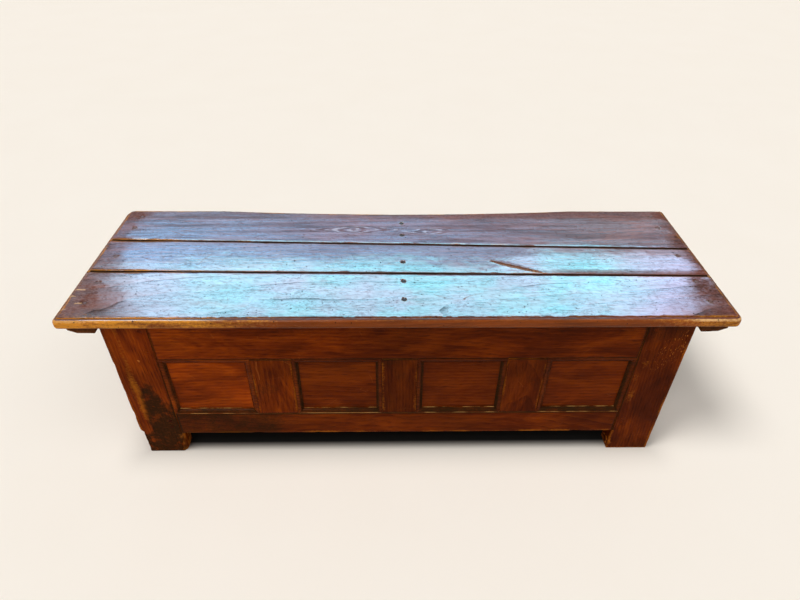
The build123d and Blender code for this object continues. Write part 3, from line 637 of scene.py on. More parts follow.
def iron_wear(place, normal, masks):
    """Hammer marks on the hinges."""
    masks["grime"] += 0.5 * cloud(place, 0.02, 131)
    return 0.35 * MM * fade(cloud(place, 0.012, 133), 0.35, 0.7)


# Node trees

DARK_STOP = 0.12
MIDDLE_STOP = 0.5
LIGHT_STOP = 0.88
BUMP_HIGH = 0.5 * MM


def set_inputs(node, inputs):
    """Sets each named input to its value, or links it where the value is a socket of another node."""
    for name, value in (inputs or {}).items():
        if isinstance(value, bpy.types.NodeSocket):
            node.id_data.links.new(value, node.inputs[name])
        else:
            node.inputs[name].default_value = value


def add_node(tree, kind, settings=None, inputs=None):
    """A shader node with its settings made and its inputs set or linked."""
    node = tree.nodes.new("ShaderNode" + kind)
    for name, value in (settings or {}).items():
        setattr(node, name, value)
    set_inputs(node, inputs)
    return node


def tree_of(*values):
    """The node tree of the first socket among some values."""
    return next(value.id_data for value in values if isinstance(value, bpy.types.NodeSocket))


def calc(operation, first, second=0.0, clamp=False):
    settings = {"operation": operation, "use_clamp": clamp}
    return add_node(tree_of(first, second), "Math", settings, {0: first, 1: second}).outputs[0]


def plus(first, second):
    return calc("ADD", first, second)


def minus(first, second, clamp=False):
    return calc("SUBTRACT", first, second, clamp)


def times(first, second):
    return calc("MULTIPLY", first, second)


def larger(first, second):
    return calc("MAXIMUM", first, second)


def unsigned(value):
    return calc("ABSOLUTE", value)


def spread(value, start, end, lowest=0.0, highest=1.0):
    """Stretches a value from start and end to lowest and highest, and stops there."""
    inputs = {"Value": value, "From Min": start, "From Max": end, "To Min": lowest, "To Max": highest}
    return add_node(value.id_data, "MapRange", {"clamp": True}, inputs).outputs["Result"]


def mixed(share, first, second, blend="MIX"):
    settings = {"data_type": "RGBA", "blend_type": blend, "clamp_factor": True}
    tree = tree_of(share, first, second)
    return add_node(tree, "Mix", settings, {0: share, 6: first, 7: second}).outputs[2]


def tinted(colour, tint):
    """A colour multiplied by another colour or by a lightness."""
    return mixed(1.0, colour, tint, "MULTIPLY")


def three_tones(share, tones):
    """Runs from a dark through a middle to a light colour."""
    dark, middle, light = tones
    ramp = add_node(share.id_data, "ValToRGB", None, {"Fac": share})
    stops = ramp.color_ramp.elements
    stops[0].position = DARK_STOP
    stops[0].color = dark
    stops[1].position = LIGHT_STOP
    stops[1].color = light
    stops.new(MIDDLE_STOP).color = middle
    return ramp.outputs["Color"]


def own_place(tree):
    """The piece's own coordinates, which are those of the whole chest in metres."""
    return add_node(tree, "TexCoord").outputs["Object"]


def mask(tree, name):
    """One of the wear masks that the mesh carries."""
    return add_node(tree, "Attribute", {"attribute_name": name}).outputs["Fac"]


def split(vector):
    """The X, Y and Z of a vector."""
    return add_node(vector.id_data, "SeparateXYZ", None, {"Vector": vector}).outputs


def noise_value(vector, scale, detail=2.0, roughness=0.5, distortion=0.0):
    inputs = {"Vector": vector, "Scale": scale, "Detail": detail}
    inputs |= {"Roughness": roughness, "Distortion": distortion}
    return add_node(vector.id_data, "TexNoise", None, inputs).outputs["Fac"]


def stretched(vector, scale, turn=(0.0, 0.0, 0.0), shift=(0.0, 0.0, 0.0)):
    """The same coordinates, scaled, turned and shifted."""
    inputs = {"Vector": vector, "Scale": scale, "Rotation": turn, "Location": shift}
    return add_node(vector.id_data, "Mapping", None, inputs).outputs[0]


def pushed(vector, amount, by):
    """The same coordinates, moved by a value times an amount along each axis."""
    inputs = {0: amount, 1: by, 2: vector}
    return add_node(vector.id_data, "VectorMath", {"operation": "MULTIPLY_ADD"}, inputs).outputs[0]


def bumped(strength, height):
    """A normal bent by a height, in which 1 stands half a millimetre proud at full strength."""
    inputs = {"Strength": strength, "Distance": BUMP_HIGH, "Height": height}
    return add_node(height.id_data, "Bump", None, inputs).outputs["Normal"]


def new_group(name, inputs, outputs):
    """An empty shader node group. Each input is given by its start value or, without one, by its kind."""
    tree = bpy.data.node_groups.new(name, "ShaderNodeTree")
    for socket, start in inputs.items():
        kind = start if isinstance(start, str) else "Color" if isinstance(start, list) else "Float"
        made = tree.interface.new_socket(socket, in_out="INPUT", socket_type="NodeSocket" + kind)
        if kind != start:
            made.default_value = start
    for socket in outputs:
        kind = "Color" if socket == "Color" else "Float"
        tree.interface.new_socket(socket, in_out="OUTPUT", socket_type="NodeSocket" + kind)
    return tree, tree.nodes.new("NodeGroupInput").outputs, tree.nodes.new("NodeGroupOutput")


def use_group(tree, group, inputs):
    node = tree.nodes.new("ShaderNodeGroup")
    node.node_tree = group
    set_inputs(node, inputs)
    return node.outputs


# Grain, specks, scratches and age, which the finishes share

SCRATCH_TURNS = (0.25, -0.6, 1.3)
SCRATCH_SCALE = 5.0


def build_grain_group():
    """Growth rings, fibres and pores of a board whose grain runs along X."""
    inputs = {"Vector": "Vector", "Ring Scale": 40.0, "Figure": 2.0, "Rings": 0.3}
    tree, given, out = new_group("board_grain", inputs, ("Tone", "Pores", "Lines", "Height"))
    place = given["Vector"]
    bend = noise_value(stretched(place, (1.3, 5.0, 5.0)), 1.0, 2.0)
    bent = pushed(place, (0.0, 0.035, 0.035), bend)
    settings = {"wave_type": "RINGS", "rings_direction": "X", "wave_profile": "SAW"}
    rings = add_node(tree, "TexWave", settings, {
        "Vector": bent, "Scale": given["Ring Scale"], "Distortion": given["Figure"],
        "Detail": 3.0, "Detail Scale": 0.35,
    }).outputs["Fac"]
    fibres = noise_value(stretched(place, (9.0, 300.0, 300.0)), 1.0, 4.0, 0.62)
    bands = noise_value(stretched(place, (4.5, 17.0, 17.0)), 1.0, 5.0, 0.6, 1.2)
    pores = noise_value(stretched(place, (26.0, 440.0, 440.0)), 1.0, 1.5)
    gate = noise_value(stretched(place, (3.0, 24.0, 24.0)), 1.0, 2.0)
    pore_mask = times(spread(pores, 0.56, 0.66), spread(rings, 0.15, 0.75, 0.45, 1.0))
    lines = times(spread(rings, 0.92, 0.99), spread(gate, 0.48, 0.60))
    tone = times(rings, given["Rings"])
    tone = plus(tone, times(spread(fibres, 0.25, 0.75), 0.20))
    tone = plus(tone, times(spread(bands, 0.26, 0.74), 0.56))
    height = minus(times(fibres, 0.5), pore_mask)
    set_inputs(out, {
        "Tone": minus(1.0, tone, True), "Pores": pore_mask, "Lines": lines,
        "Height": minus(height, lines),
    })
    return tree


def build_specks_group():
    """Worm holes and dark specks: round dots in random cells, of which only a share is used."""
    inputs = {"Vector": "Vector", "Scale": 60.0, "Share": 0.3, "Size": 0.12}
    tree, given, out = new_group("specks", inputs, ("Mask",))
    inputs = {"Vector": given["Vector"], "Scale": given["Scale"]}
    cells = add_node(tree, "TexVoronoi", {"feature": "F1"}, inputs).outputs
    pick = add_node(tree, "SeparateColor", None, {"Color": cells["Color"]}).outputs
    size = times(given["Size"], spread(pick[1], 0.0, 1.0, 0.35, 1.0))
    used = calc("LESS_THAN", pick[0], given["Share"])
    dot = spread(calc("DIVIDE", cells["Distance"], size), 1.0, 0.6)
    set_inputs(out, {"Mask": times(dot, used)})
    return tree


def build_scratches_group():
    """Thin crossing scratches, broken up by a slow noise."""
    inputs = {"Vector": "Vector", "Scale": 9.0, "Width": 0.006, "Amount": 0.5}
    tree, given, out = new_group("scratches", inputs, ("Mask",))
    total = None
    for number, angle in enumerate(SCRATCH_TURNS):
        turn = (angle, angle * 0.7, angle)
        turned = stretched(given["Vector"], (1.0, 3.2, 3.2), turn, (number * 3.1, 0.0, 1.3))
        moved = pushed(turned, (0.05, 0.05, 0.05), noise_value(turned, 3.0, 2.0))
        inputs = {"Vector": moved, "Scale": given["Scale"]}
        edge = add_node(tree, "TexVoronoi", {"feature": "DISTANCE_TO_EDGE"}, inputs).outputs["Distance"]
        line = calc("LESS_THAN", edge, given["Width"])
        gate = noise_value(turned, 6.0, 1.0)
        broken = times(line, calc("LESS_THAN", gate, given["Amount"]))
        total = broken if total is None else larger(total, broken)
    set_inputs(out, {"Mask": total})
    return tree


def build_age_group():
    """Lays wear, broken wood, dry wood and grime over a colour, from the masks in the mesh; the worn and
    fresh masks also carry painted highlights, and the grime mask painted shade.
    """
    inputs = {
        "Vector": "Vector", "Color": "Color", "Worn Color": srgb(172, 97, 22),
        "Fresh Color": srgb(196, 118, 44), "Dry Color": srgb(112, 80, 52), "Grime Color": srgb(36, 24, 8),
        "Tone": 0.5,
    }
    tree, given, out = new_group("age", inputs, ("Color", "Varnish", "Roughness", "Worn"))
    masks = {name: mask(tree, name) for name in MASKS}
    fine = noise_value(stretched(given["Vector"], (130.0, 260.0, 200.0)), 1.0, 5.0, 0.72)
    lift = times(minus(fine, 0.5), 1.5)

    def ragged(name, start, end):
        """The mask with its soft border broken up by the fine noise."""
        lifted = times(lift, spread(masks[name], 0.0, 0.15))
        return spread(plus(masks[name], lifted), start, end)

    dry_colour = tinted(given["Dry Color"], spread(given["Tone"], 0.15, 0.85, 0.55, 1.35))
    dry_colour = mixed(0.25, dry_colour, given["Color"])
    colour = mixed(masks["dry"], given["Color"], dry_colour)
    worn = times(ragged("worn", 0.18, 0.9), spread(masks["dry"], 0.0, 1.0, 1.0, 0.45))
    worn_and_highlight_colour = tinted(given["Worn Color"], plus(times(given["Tone"], 0.6), 0.62))
    colour = mixed(times(worn, 0.85), colour, worn_and_highlight_colour)
    fleck = stretched(given["Vector"], (420.0, 420.0, 130.0), (0.0, 0.5, 0.0))
    fleck = noise_value(fleck, 1.0, 1.0)
    fleck = times(spread(fleck, 0.66, 0.70), masks["flecks"])
    fresh = larger(ragged("fresh", 0.2, 0.8), fleck)
    colour = mixed(fresh, colour, given["Fresh Color"])
    grime = ragged("grime", 0.1, 1.0)
    colour = mixed(times(grime, 0.9), colour, given["Grime Color"])
    varnish = minus(1.0, masks["dry"])
    varnish = minus(varnish, ragged("dull", 0.05, 1.0))
    varnish = minus(varnish, times(worn, 0.5))
    varnish = minus(varnish, times(grime, 0.5), True)
    set_inputs(out, {
        "Color": colour, "Varnish": varnish, "Worn": worn,
        "Roughness": spread(varnish, 0.0, 1.0, 0.82, 0.36),
    })
    return tree


GRAIN = build_grain_group()
SPECKS = build_specks_group()
SCRATCHES = build_scratches_group()
AGE = build_age_group()


def specks(vector, scale, share, size):
    inputs = {"Vector": vector, "Scale": scale, "Share": share, "Size": size}
    return use_group(vector.id_data, SPECKS, inputs)["Mask"]


def scratches(vector, width, amount):
    inputs = {"Vector": vector, "Scale": SCRATCH_SCALE, "Width": width, "Amount": amount}
    return use_group(vector.id_data, SCRATCHES, inputs)["Mask"]


def new_material(name):
    material = bpy.data.materials.new(name)
    material.use_nodes = True
    tree = material.node_tree
    return material, tree, tree.nodes["Principled BSDF"]


# The finish of the carcase

TRUE_SIZE = (1.0, 1.0, 1.0)
GRAIN_TURNS = {
    "X": (0.0, 0.0, 0.0),
    "Y": (0.0, 0.0, math.radians(-90)),
    "Z": (0.0, math.radians(90), 0.0),
}
GRAIN_TILT = (0.0, 0.035, 0.06)
SCRATCH_COLOUR = srgb(168, 96, 40)

# Tones run from dark to light, broken is bare broken wood, and rings is the share of the growth rings
FINISHES = {
    "frame": {
        "tones": (srgb(44, 12, 1), srgb(88, 30, 1), srgb(128, 54, 3)), "broken": srgb(186, 104, 34),
        "ring_scale": 42.0, "figure": 2.6, "rings": 0.13, "coat": 0.04,
    },
    "panel": {
        "tones": (srgb(54, 16, 1), srgb(94, 33, 1), srgb(128, 54, 3)), "broken": srgb(186, 104, 34),
        "ring_scale": 30.0, "figure": 3.4, "rings": 0.15, "coat": 0.05,
    },
    "moulding": {
        "tones": (srgb(34, 11, 2), srgb(78, 29, 3), srgb(116, 50, 5)), "broken": srgb(188, 140, 78),
        "ring_scale": 60.0, "figure": 1.0, "rings": 0.12, "coat": 0.06,
    },
    "inner": {
        "tones": (srgb(74, 50, 30), srgb(120, 86, 54), srgb(150, 112, 74)), "broken": srgb(176, 134, 84),
        "ring_scale": 40.0, "figure": 2.0, "rings": 0.3, "coat": 0.0,
    },
}

# Each piece has its own tone, times a painted light that is brighter towards the left: the lightness of a
# piece at its left and right end
PAINTED_LIGHT_LEFT = -0.62
PAINTED_LIGHT_RIGHT = -0.05
EVEN = (1.0, 1.0)
TONE_AND_PAINTED_LIGHT = {
    "front_left_post": (1.4, 1.4), "front_right_post": (0.85, 0.85), "front_top_rail": (2.15, 0.95),
    "front_bottom_rail": (1.0, 0.90), "front_muntin_1": EVEN, "front_muntin_2": (0.58, 0.58),
    "front_muntin_3": (0.72, 0.72), "front_panel_1": (1.8, 1.8), "front_panel_2": (0.92, 0.92),
    "front_panel_3": (0.76, 0.76), "front_panel_4": (0.98, 0.98), "moulding": (1.7, 0.95),
    "peg": (1.25, 0.85),
}
SOILED_PEG = 0.25


def clean_pegs(objects):
    """1 on every peg but those low in the stained front left post."""
    parts = split(objects)
    clean = larger(spread(parts["Z"], 0.20, 0.25), spread(parts["X"], -0.56, -0.50))
    return larger(clean, spread(parts["Y"], FRONT + 60 * MM, FRONT + 80 * MM))


def wood(name, along, seed, finish):
    """Old varnished wood with its grain along one axis."""
    look = FINISHES[finish]
    dark = look["tones"][0]
    material, tree, shader = new_material(name)
    objects = own_place(tree)
    shift = (seed * 1.37 % 5.0, 0.045 + seed * 0.31 % 0.6, 0.03 + seed * 0.17 % 0.4)
    place = stretched(objects, TRUE_SIZE, GRAIN_TURNS[along], shift)
    place = stretched(place, TRUE_SIZE, GRAIN_TILT)
    grain = use_group(tree, GRAIN, {
        "Vector": place, "Ring Scale": look["ring_scale"], "Figure": look["figure"], "Rings": look["rings"],
    })
    patches = noise_value(stretched(objects, (5.0, 9.0, 9.0), shift=(seed, 0, 0)), 1.0, 3.0)
    shade = spread(patches, 0.3, 0.7, 0.70, 1.25)
    across = split(objects)["X"]
    # Painted light: pieces are lit brighter towards the left, through their lightness at the left and right
    # end.
    shade = times(shade, spread(across, PAINTED_LIGHT_LEFT, PAINTED_LIGHT_RIGHT, *TONE_AND_PAINTED_LIGHT.get(name, EVEN)))
    if name == "peg":
        shade = times(shade, spread(clean_pegs(objects), 0.0, 1.0, SOILED_PEG, 1.0))
    colour = tinted(three_tones(grain["Tone"], look["tones"]), shade)
    colour = mixed(times(grain["Pores"], 0.55), colour, dark)
    colour = mixed(times(grain["Lines"], 0.6), colour, dark)
    age = use_group(tree, AGE, {
        "Vector": objects, "Color": colour, "Tone": grain["Tone"], "Fresh Color": look["broken"],
    })
    scratch = scratches(objects, 0.003, 0.33)
    height = minus(grain["Height"], times(scratch, 0.8))
    set_inputs(shader, {
        "Base Color": mixed(times(scratch, 0.18), age["Color"], SCRATCH_COLOUR),
        "Roughness": age["Roughness"],
        "Coat Weight": times(age["Varnish"], look["coat"]),
        "Normal": bumped(0.35, height), "Specular IOR Level": 0.01, "Coat Roughness": 0.2,
    })
    return material


# The finish of the lid

LID_TONES = (srgb(42, 18, 12), srgb(88, 40, 27), srgb(132, 70, 44))
LID_PORES = srgb(24, 10, 8)
# Golden colour of worn varnish, which also paints the highlight along the top of the nosing.
LID_WORN_AND_HIGHLIGHT = srgb(222, 146, 42)
# Pale broken wood, which also paints the highlight line at both ends of the nosing.
LID_BROKEN_AND_HIGHLIGHT = srgb(214, 168, 112)
# Pale purple-grey of old varnish bloom, which is also a painted sheen where the lid mirrors little light.
LID_BLOOM_AND_SHEEN = srgb(152, 116, 108)
LID_HOLES = srgb(18, 10, 8)
LID_SCRATCHES = srgb(160, 104, 62)
EDGE_POLISH = srgb(124, 58, 12)
FLAMES = [((-0.120, 0.138), (0.095, 0.023)), ((0.070, 0.130), (0.080, 0.018))]
FLAME_RINGS = 13.0
# The flame figure is real grain, drawn in a pale lavender that is a painted sheen.
FLAME_SHEEN_COLOUR = srgb(200, 190, 194)


def flame_figure(objects):
    """Nested, wavering lens shapes where the saw cut across the growth rings: from -1 to 1."""
    total = None
    for centre, reach in FLAMES:
        place = (-centre[0] / reach[0], -centre[1] / reach[1], 0.0)
        parts = split(stretched(objects, (1 / reach[0], 1 / reach[1], 0.0), shift=place))
        waver = noise_value(stretched(objects, (15.0, 42.0, 0.0)), 1.0, 3.0)
        gate = noise_value(stretched(objects, (34.0, 90.0, 0.0)), 1.0, 2.0)
        lens = plus(unsigned(parts["X"]), calc("POWER", unsigned(parts["Y"]), 1.8))
        lens = plus(lens, times(minus(waver, 0.5), 1.1))
        lines = calc("SINE", times(lens, FLAME_RINGS))
        lines = times(lines, spread(lens, 1.4, 0.8))
        lines = times(lines, spread(gate, 0.35, 0.60, 0.15, 1.0))
        total = lines if total is None else plus(total, lines)
    return total


def lid_wood(name, seed, lost):
    """The lid's boards: brown wood under a thick glossy varnish, of which a share is lost in streaks."""
    material, tree, shader = new_material(name)
    objects = own_place(tree)
    shift = (seed * 1.7, 0.02 + seed * 0.23 % 0.5, 0.05 + seed * 0.02)
    place = stretched(objects, TRUE_SIZE, (0.0, 0.03, 0.02), shift)
    grain = use_group(tree, GRAIN, {"Vector": place, "Ring Scale": 30.0, "Figure": 0.9, "Rings": 0.2})
    clouds = noise_value(stretched(objects, (4.0, 12.0, 12.0), shift=(seed, 0, 0)), 1.0, 3.0)
    colour = three_tones(grain["Tone"], LID_TONES)
    colour = tinted(colour, spread(clouds, 0.3, 0.7, 0.7, 1.2))
    colour = mixed(times(grain["Pores"], 0.7), colour, LID_PORES)
    colour = mixed(times(grain["Lines"], 0.8), colour, LID_PORES)
    age = use_group(tree, AGE, {
        "Vector": objects, "Color": colour, "Tone": grain["Tone"],
        "Worn Color": LID_WORN_AND_HIGHLIGHT, "Fresh Color": LID_BROKEN_AND_HIGHLIGHT,
    })
    golden = mask(tree, "golden")
    dry = mask(tree, "dry")
    # Varnish bloom with a painted sheen: pale purple-grey where the shine is lost, stronger towards the
    # left.
    bloom_and_sheen = noise_value(stretched(objects, (150.0, 330.0, 330.0)), 1.0, 5.0, 0.7)
    shine_lost = spread(age["Varnish"], 0.95, 0.3, 0.0, 0.7)
    bloom_and_sheen = times(spread(bloom_and_sheen, 0.40, 0.66), shine_lost)
    unbloomed = larger(larger(golden, dry), mask(tree, "grime"))
    bloom_and_sheen = times(bloom_and_sheen, minus(1.0, unbloomed))
    bloom_and_sheen = times(bloom_and_sheen, spread(split(objects)["X"], 0.0, 0.6, 0.9, 0.55))
    colour = mixed(bloom_and_sheen, age["Color"], LID_BLOOM_AND_SHEEN)
    polish = tinted(EDGE_POLISH, spread(grain["Tone"], 0.2, 0.8, 0.45, 1.25))
    colour = mixed(minus(golden, age["Worn"], True), colour, polish)
    worm = specks(objects, 62.0, 0.16, 0.14)
    pits = specks(objects, 120.0, 0.20, 0.28)
    dots = larger(worm, times(pits, 0.9))
    colour = mixed(dots, colour, LID_HOLES)
    scratch = scratches(objects, 0.0025, 0.35)
    colour = mixed(times(scratch, 0.4), colour, LID_SCRATCHES)
    coat = minus(age["Varnish"], times(grain["Pores"], 0.3))
    coat = minus(coat, times(grain["Lines"], 0.7))
    streaks = noise_value(stretched(objects, (110.0, 210.0, 210.0)), 1.0, 3.0, 0.7)
    coat = times(coat, spread(streaks, 0.36, 0.52, 0.55, 1.0))
    if name == "lid_back_board":
        # Painted sheen: the flame figure's rings are painted pale lavender on the back board.
        flame = times(flame_figure(objects), minus(1.0, dry))
        colour = mixed(spread(flame, 0.2, 0.9, 0.0, 0.5), colour, FLAME_SHEEN_COLOUR)
        coat = times(coat, spread(flame, -0.8, 0.0, 0.25, 1.0))
    patches = stretched(objects, (5.0, 60.0, 60.0), shift=(seed, 0, 0))
    patches = noise_value(patches, 1.0, 5.0, 0.66)
    coat = times(coat, spread(patches, 0.38, 0.58, 1.0 - lost, 1.0))
    coat = times(coat, spread(golden, 0.0, 1.0, 1.0, 0.12))
    coat = minus(coat, dots)
    coat = minus(coat, times(scratch, 0.6), True)
    set_inputs(shader, {
        "Base Color": colour,
        "Roughness": spread(age["Varnish"], 0.0, 1.0, 0.7, 0.22),
        "Coat Weight": coat,
        "Normal": bumped(0.5, minus(grain["Height"], times(dots, 2.0))),
        "Specular IOR Level": 0.06, "Coat IOR": 1.65, "Coat Roughness": 0.07,
    })
    return material


# The finish of the iron

NAIL_VARNISH = srgb(102, 74, 70)
HAMMER_BUMP = 0.4 * MM


def iron(name, light, dark, rust_colour, shine, gloss=0.5):
    """Forged iron, dark and dull, with rust in patches."""
    material, tree, shader = new_material(name)
    objects = own_place(tree)
    lumps = noise_value(objects, 120.0, 4.0, 0.6)
    rust = spread(noise_value(objects, 34.0, 5.0, 0.7), 0.48, 0.66)
    colour = mixed(rust, mixed(lumps, dark, light), rust_colour)
    colour = mixed(times(mask(tree, "golden"), 0.9), colour, NAIL_VARNISH)
    bump = add_node(tree, "Bump", None, {"Strength": 0.6, "Distance": HAMMER_BUMP, "Height": lumps})
    set_inputs(shader, {
        "Base Color": colour,
        "Metallic": spread(rust, 0.0, 1.0, shine, 0.1),
        "Roughness": spread(rust, 0.0, 1.0, 0.42, 0.85),
        "Normal": bump.outputs["Normal"], "Specular IOR Level": gloss,
    })
    return material


# Light and floor

FLOOR_REACH = 14
FLOOR_COLOUR = srgb(244, 237, 227)
FLOOR_MOTTLE = srgb(246, 240, 231)
# Painted shade on the floor: near black under the chest, and a soft painted contact shade round its
# footprint.
PAINTED_UNDER_CHEST_SHADE = srgb(26, 25, 24)
SHADE_REACH = 30 * MM
CONTACT_REACH = 100 * MM
CONTACT_DEPTH = 0.28
LAMP_COLOUR = (1.0, 0.985, 0.965)
ROOM_COLOUR = (0.97, 0.97, 0.97, 1)
ROOM_STRENGTH = 0.18
BACKDROP_COLOUR = srgb(246, 239, 229)

# Where each soft lamp shines from, its strength and its width in degrees
SOFT_LAMPS = {
    "side_lamp": ((-1.15, -0.45, 2.3), 1.80, 20),
    "front_lamp": ((-0.7, -1.5, 2.3), 0.90, 20),
    "fill_lamp": ((1.2, -0.8, 1.9), 0.45, 40),
}

# The pale sky that the lid mirrors hangs behind the chest as one large card. Sizes in metres.

SKY_PLACE = (0.0, 2.5, 2.45)
SKY_SIZE = (5.6, 1.9)
SKY_POWER = 375
SKY_BRIGHT = (0.22, 0.81, 1.0, 1)
SKY_PALE = (0.42, 0.64, 0.90, 1)
SKY_FAR_LEFT = (0.38, 0.56, 0.82, 1)
SKY_FAR_RIGHT = (0.37, 0.50, 0.80, 1)
SKY_LEFT = (0.085, 0.235, 0.44, 1)
SKY_MIDDLE = (0.075, 0.165, 0.32, 1)
SKY_RIGHT = (0.066, 0.072, 0.118, 1)
SKY_LOW = SKY_PLACE[2] - SKY_SIZE[1] / 2
SKY_EDGE = 2.165
SKY_EDGE_SLOPE = 0.031
SKY_EDGE_DROP = 0.13


def place_lamp(name, kind, place, target, energy, colour, size=None):
    data = bpy.data.lights.new(name, kind)
    data.energy = energy
    data.color = colour
    if kind == "SUN":
        data.angle = math.radians(size)
    else:
        data.shape = "RECTANGLE"
        data.size, data.size_y = size
    lamp = add_object(name, data)
    direction = Vector(target) - Vector(place)
    turn = direction.to_track_quat("-Z", "Y").to_matrix().to_4x4()
    lamp.matrix_world = Matrix.Translation(place) @ turn
    return lamp


def paint_sky(lamp):
    """Bright above a wavering edge, darker and redder below it, and soft at its own borders.

    Across runs from -SKY_SIZE[0] / 2 at the left, and up is the height above the floor, both in metres.
    """
    lamp.data.use_nodes = True
    tree = lamp.data.node_tree
    shader = tree.nodes["Emission"]
    flat = add_node(tree, "NewGeometry").outputs["Parametric"]
    flat = stretched(flat, (-SKY_SIZE[0], SKY_SIZE[1], 1), shift=(SKY_SIZE[0] / 2, SKY_LOW, 0))
    parts = split(flat)
    across, up = parts["X"], parts["Y"]
    waver = noise_value(stretched(flat, (1.1, 5.0, 1.0)), 1.0, 4.0, 0.6)
    edge = plus(times(across, SKY_EDGE_SLOPE), SKY_EDGE)
    edge = minus(edge, spread(across, 0.8, 1.15, 0.0, SKY_EDGE_DROP))
    edge = plus(edge, spread(across, -1.9, -1.2, 0.060, 0.0))
    above = minus(up, edge)
    above = plus(above, times(minus(waver, 0.5), 0.16))
    dusk = mixed(spread(across, -1.5, -0.5), SKY_LEFT, SKY_MIDDLE)
    dusk = mixed(spread(across, 0.2, 1.6), dusk, SKY_RIGHT)
    dusk = tinted(dusk, spread(up, 1.75, 2.1, 0.6, 1.2))
    clouds = stretched(flat, (1.6, 3.0, 1.0), shift=(4.0, 0, 0))
    clouds = noise_value(clouds, 1.0, 4.0, 0.6)
    bright = mixed(spread(clouds, 0.42, 0.62), SKY_BRIGHT, SKY_PALE)
    bright = mixed(spread(across, -1.9, -1.1, 0.8, 0.0), bright, SKY_FAR_LEFT)
    bright = mixed(spread(across, 1.7, 2.25), bright, SKY_FAR_RIGHT)
    colour = mixed(spread(above, -0.03, 0.06), dusk, bright)
    ragged = noise_value(stretched(flat, (5.0, 9.0, 1.0)), 1.0, 4.0, 0.6)
    off_centre = unsigned(minus(across, 0.15))
    reach = plus(off_centre, times(ragged, 0.6))
    ends = spread(reach, 2.42, 2.80, 1.0, 0.12)
    low_end = spread(up, SKY_LOW, SKY_LOW + 0.25)
    colour = tinted(colour, times(ends, low_end))
    set_inputs(shader, {"Color": colour})


def light_stage():
    """Two soft lamps and a weak fill, an even room, and a large blue card that the lid mirrors."""
    for name, (place, strength, width) in SOFT_LAMPS.items():
        place_lamp(name, "SUN", place, (0, 0, 0), strength, LAMP_COLOUR, width)
    facing = (SKY_PLACE[0], SKY_PLACE[1] - 1, SKY_PLACE[2])
    sky = place_lamp("sky_card", "AREA", SKY_PLACE, facing, SKY_POWER, (1.0, 1.0, 1.0), SKY_SIZE)
    paint_sky(sky)
    sky.visible_camera = False
    sky.visible_diffuse = False
    sky.visible_transmission = False
    world = bpy.data.worlds.new("room")
    bpy.context.scene.world = world
    world.use_nodes = True
    tree = world.node_tree
    shader = tree.nodes["Background"]
    rays = add_node(tree, "LightPath").outputs
    seen = larger(rays["Is Camera Ray"], rays["Is Glossy Ray"])
    seen = larger(seen, rays["Is Transmission Ray"])
    set_inputs(shader, {
        "Color": mixed(seen, ROOM_COLOUR, BACKDROP_COLOUR),
        "Strength": spread(seen, 0.0, 1.0, ROOM_STRENGTH, 1.0),
    })


def lay_floor():
    """A plain pale floor, with a painted deep shade under a chest on low feet and a painted soft shade
    round it.
    """
    bm = bmesh.new()
    bmesh.ops.create_grid(bm, x_segments=4, y_segments=4, size=FLOOR_REACH)
    mesh = bpy.data.meshes.new("floor")
    bm.to_mesh(mesh)
    bm.free()
    floor = add_object("floor", mesh)
    material, tree, shader = new_material("floor_paper")
    objects = own_place(tree)
    mottle = noise_value(objects, 3.0, 3.0)
    colour = mixed(mottle, FLOOR_COLOUR, FLOOR_MOTTLE)
    parts = split(objects)
    middle = (FRONT + BACK) / 2
    off_side = minus(CHEST_RIGHT, unsigned(parts["X"]))
    off_front = minus((BACK - FRONT) / 2, unsigned(minus(parts["Y"], middle)))
    beside = larger(times(off_side, -1.0), 0.0)
    before = larger(times(off_front, -1.0), 0.0)
    away = add_node(tree, "CombineXYZ", None, {"X": beside, "Y": before}).outputs[0]
    away = add_node(tree, "VectorMath", {"operation": "LENGTH"}, {0: away}).outputs["Value"]
    # Painted contact shade: the floor darkens towards the chest's footprint.
    painted_contact_shade = calc("POWER", spread(away, 0.0, CONTACT_REACH, 1.0, 0.0), 2.0)
    painted_contact_shade = minus(1.0, times(painted_contact_shade, CONTACT_DEPTH))
    colour = tinted(colour, painted_contact_shade)
    # Painted shade: near black under the chest.
    shade = spread(calc("MINIMUM", off_side, off_front), 0.0, SHADE_REACH)
    colour = mixed(shade, colour, PAINTED_UNDER_CHEST_SHADE)
    set_inputs(shader, {"Base Color": colour, "Roughness": 0.9, "Specular IOR Level": 0.1})
    mesh.materials.append(material)


# Making the pieces


def paint(piece, material):
    piece.data.materials.clear()
    piece.data.materials.append(material)


def dress(piece, material):
    paint(piece, material)


def make_lid():
    varnish_lost = {"lid_front_board": 0.2, "lid_middle_board": 0.25, "lid_back_board": 0.6}
    for seed, (node, lost) in enumerate(varnish_lost.items()):
        board = worn_piece(node, 2.95 * MM, lid_wear, 2.0 + seed, 0.6 * MM, 0.7 * MM)
        dress(board, lid_wood(node, 1.0 + seed, lost))
    for seed, side in enumerate(("left", "right", "centre")):
        node = "lid_" + side + "_cleat"
        cleat = worn_piece(node, 5 * MM, cleat_wear, 7.0 + seed)
        dress(cleat, wood(node, "Y", 12.0 + seed, "frame"))


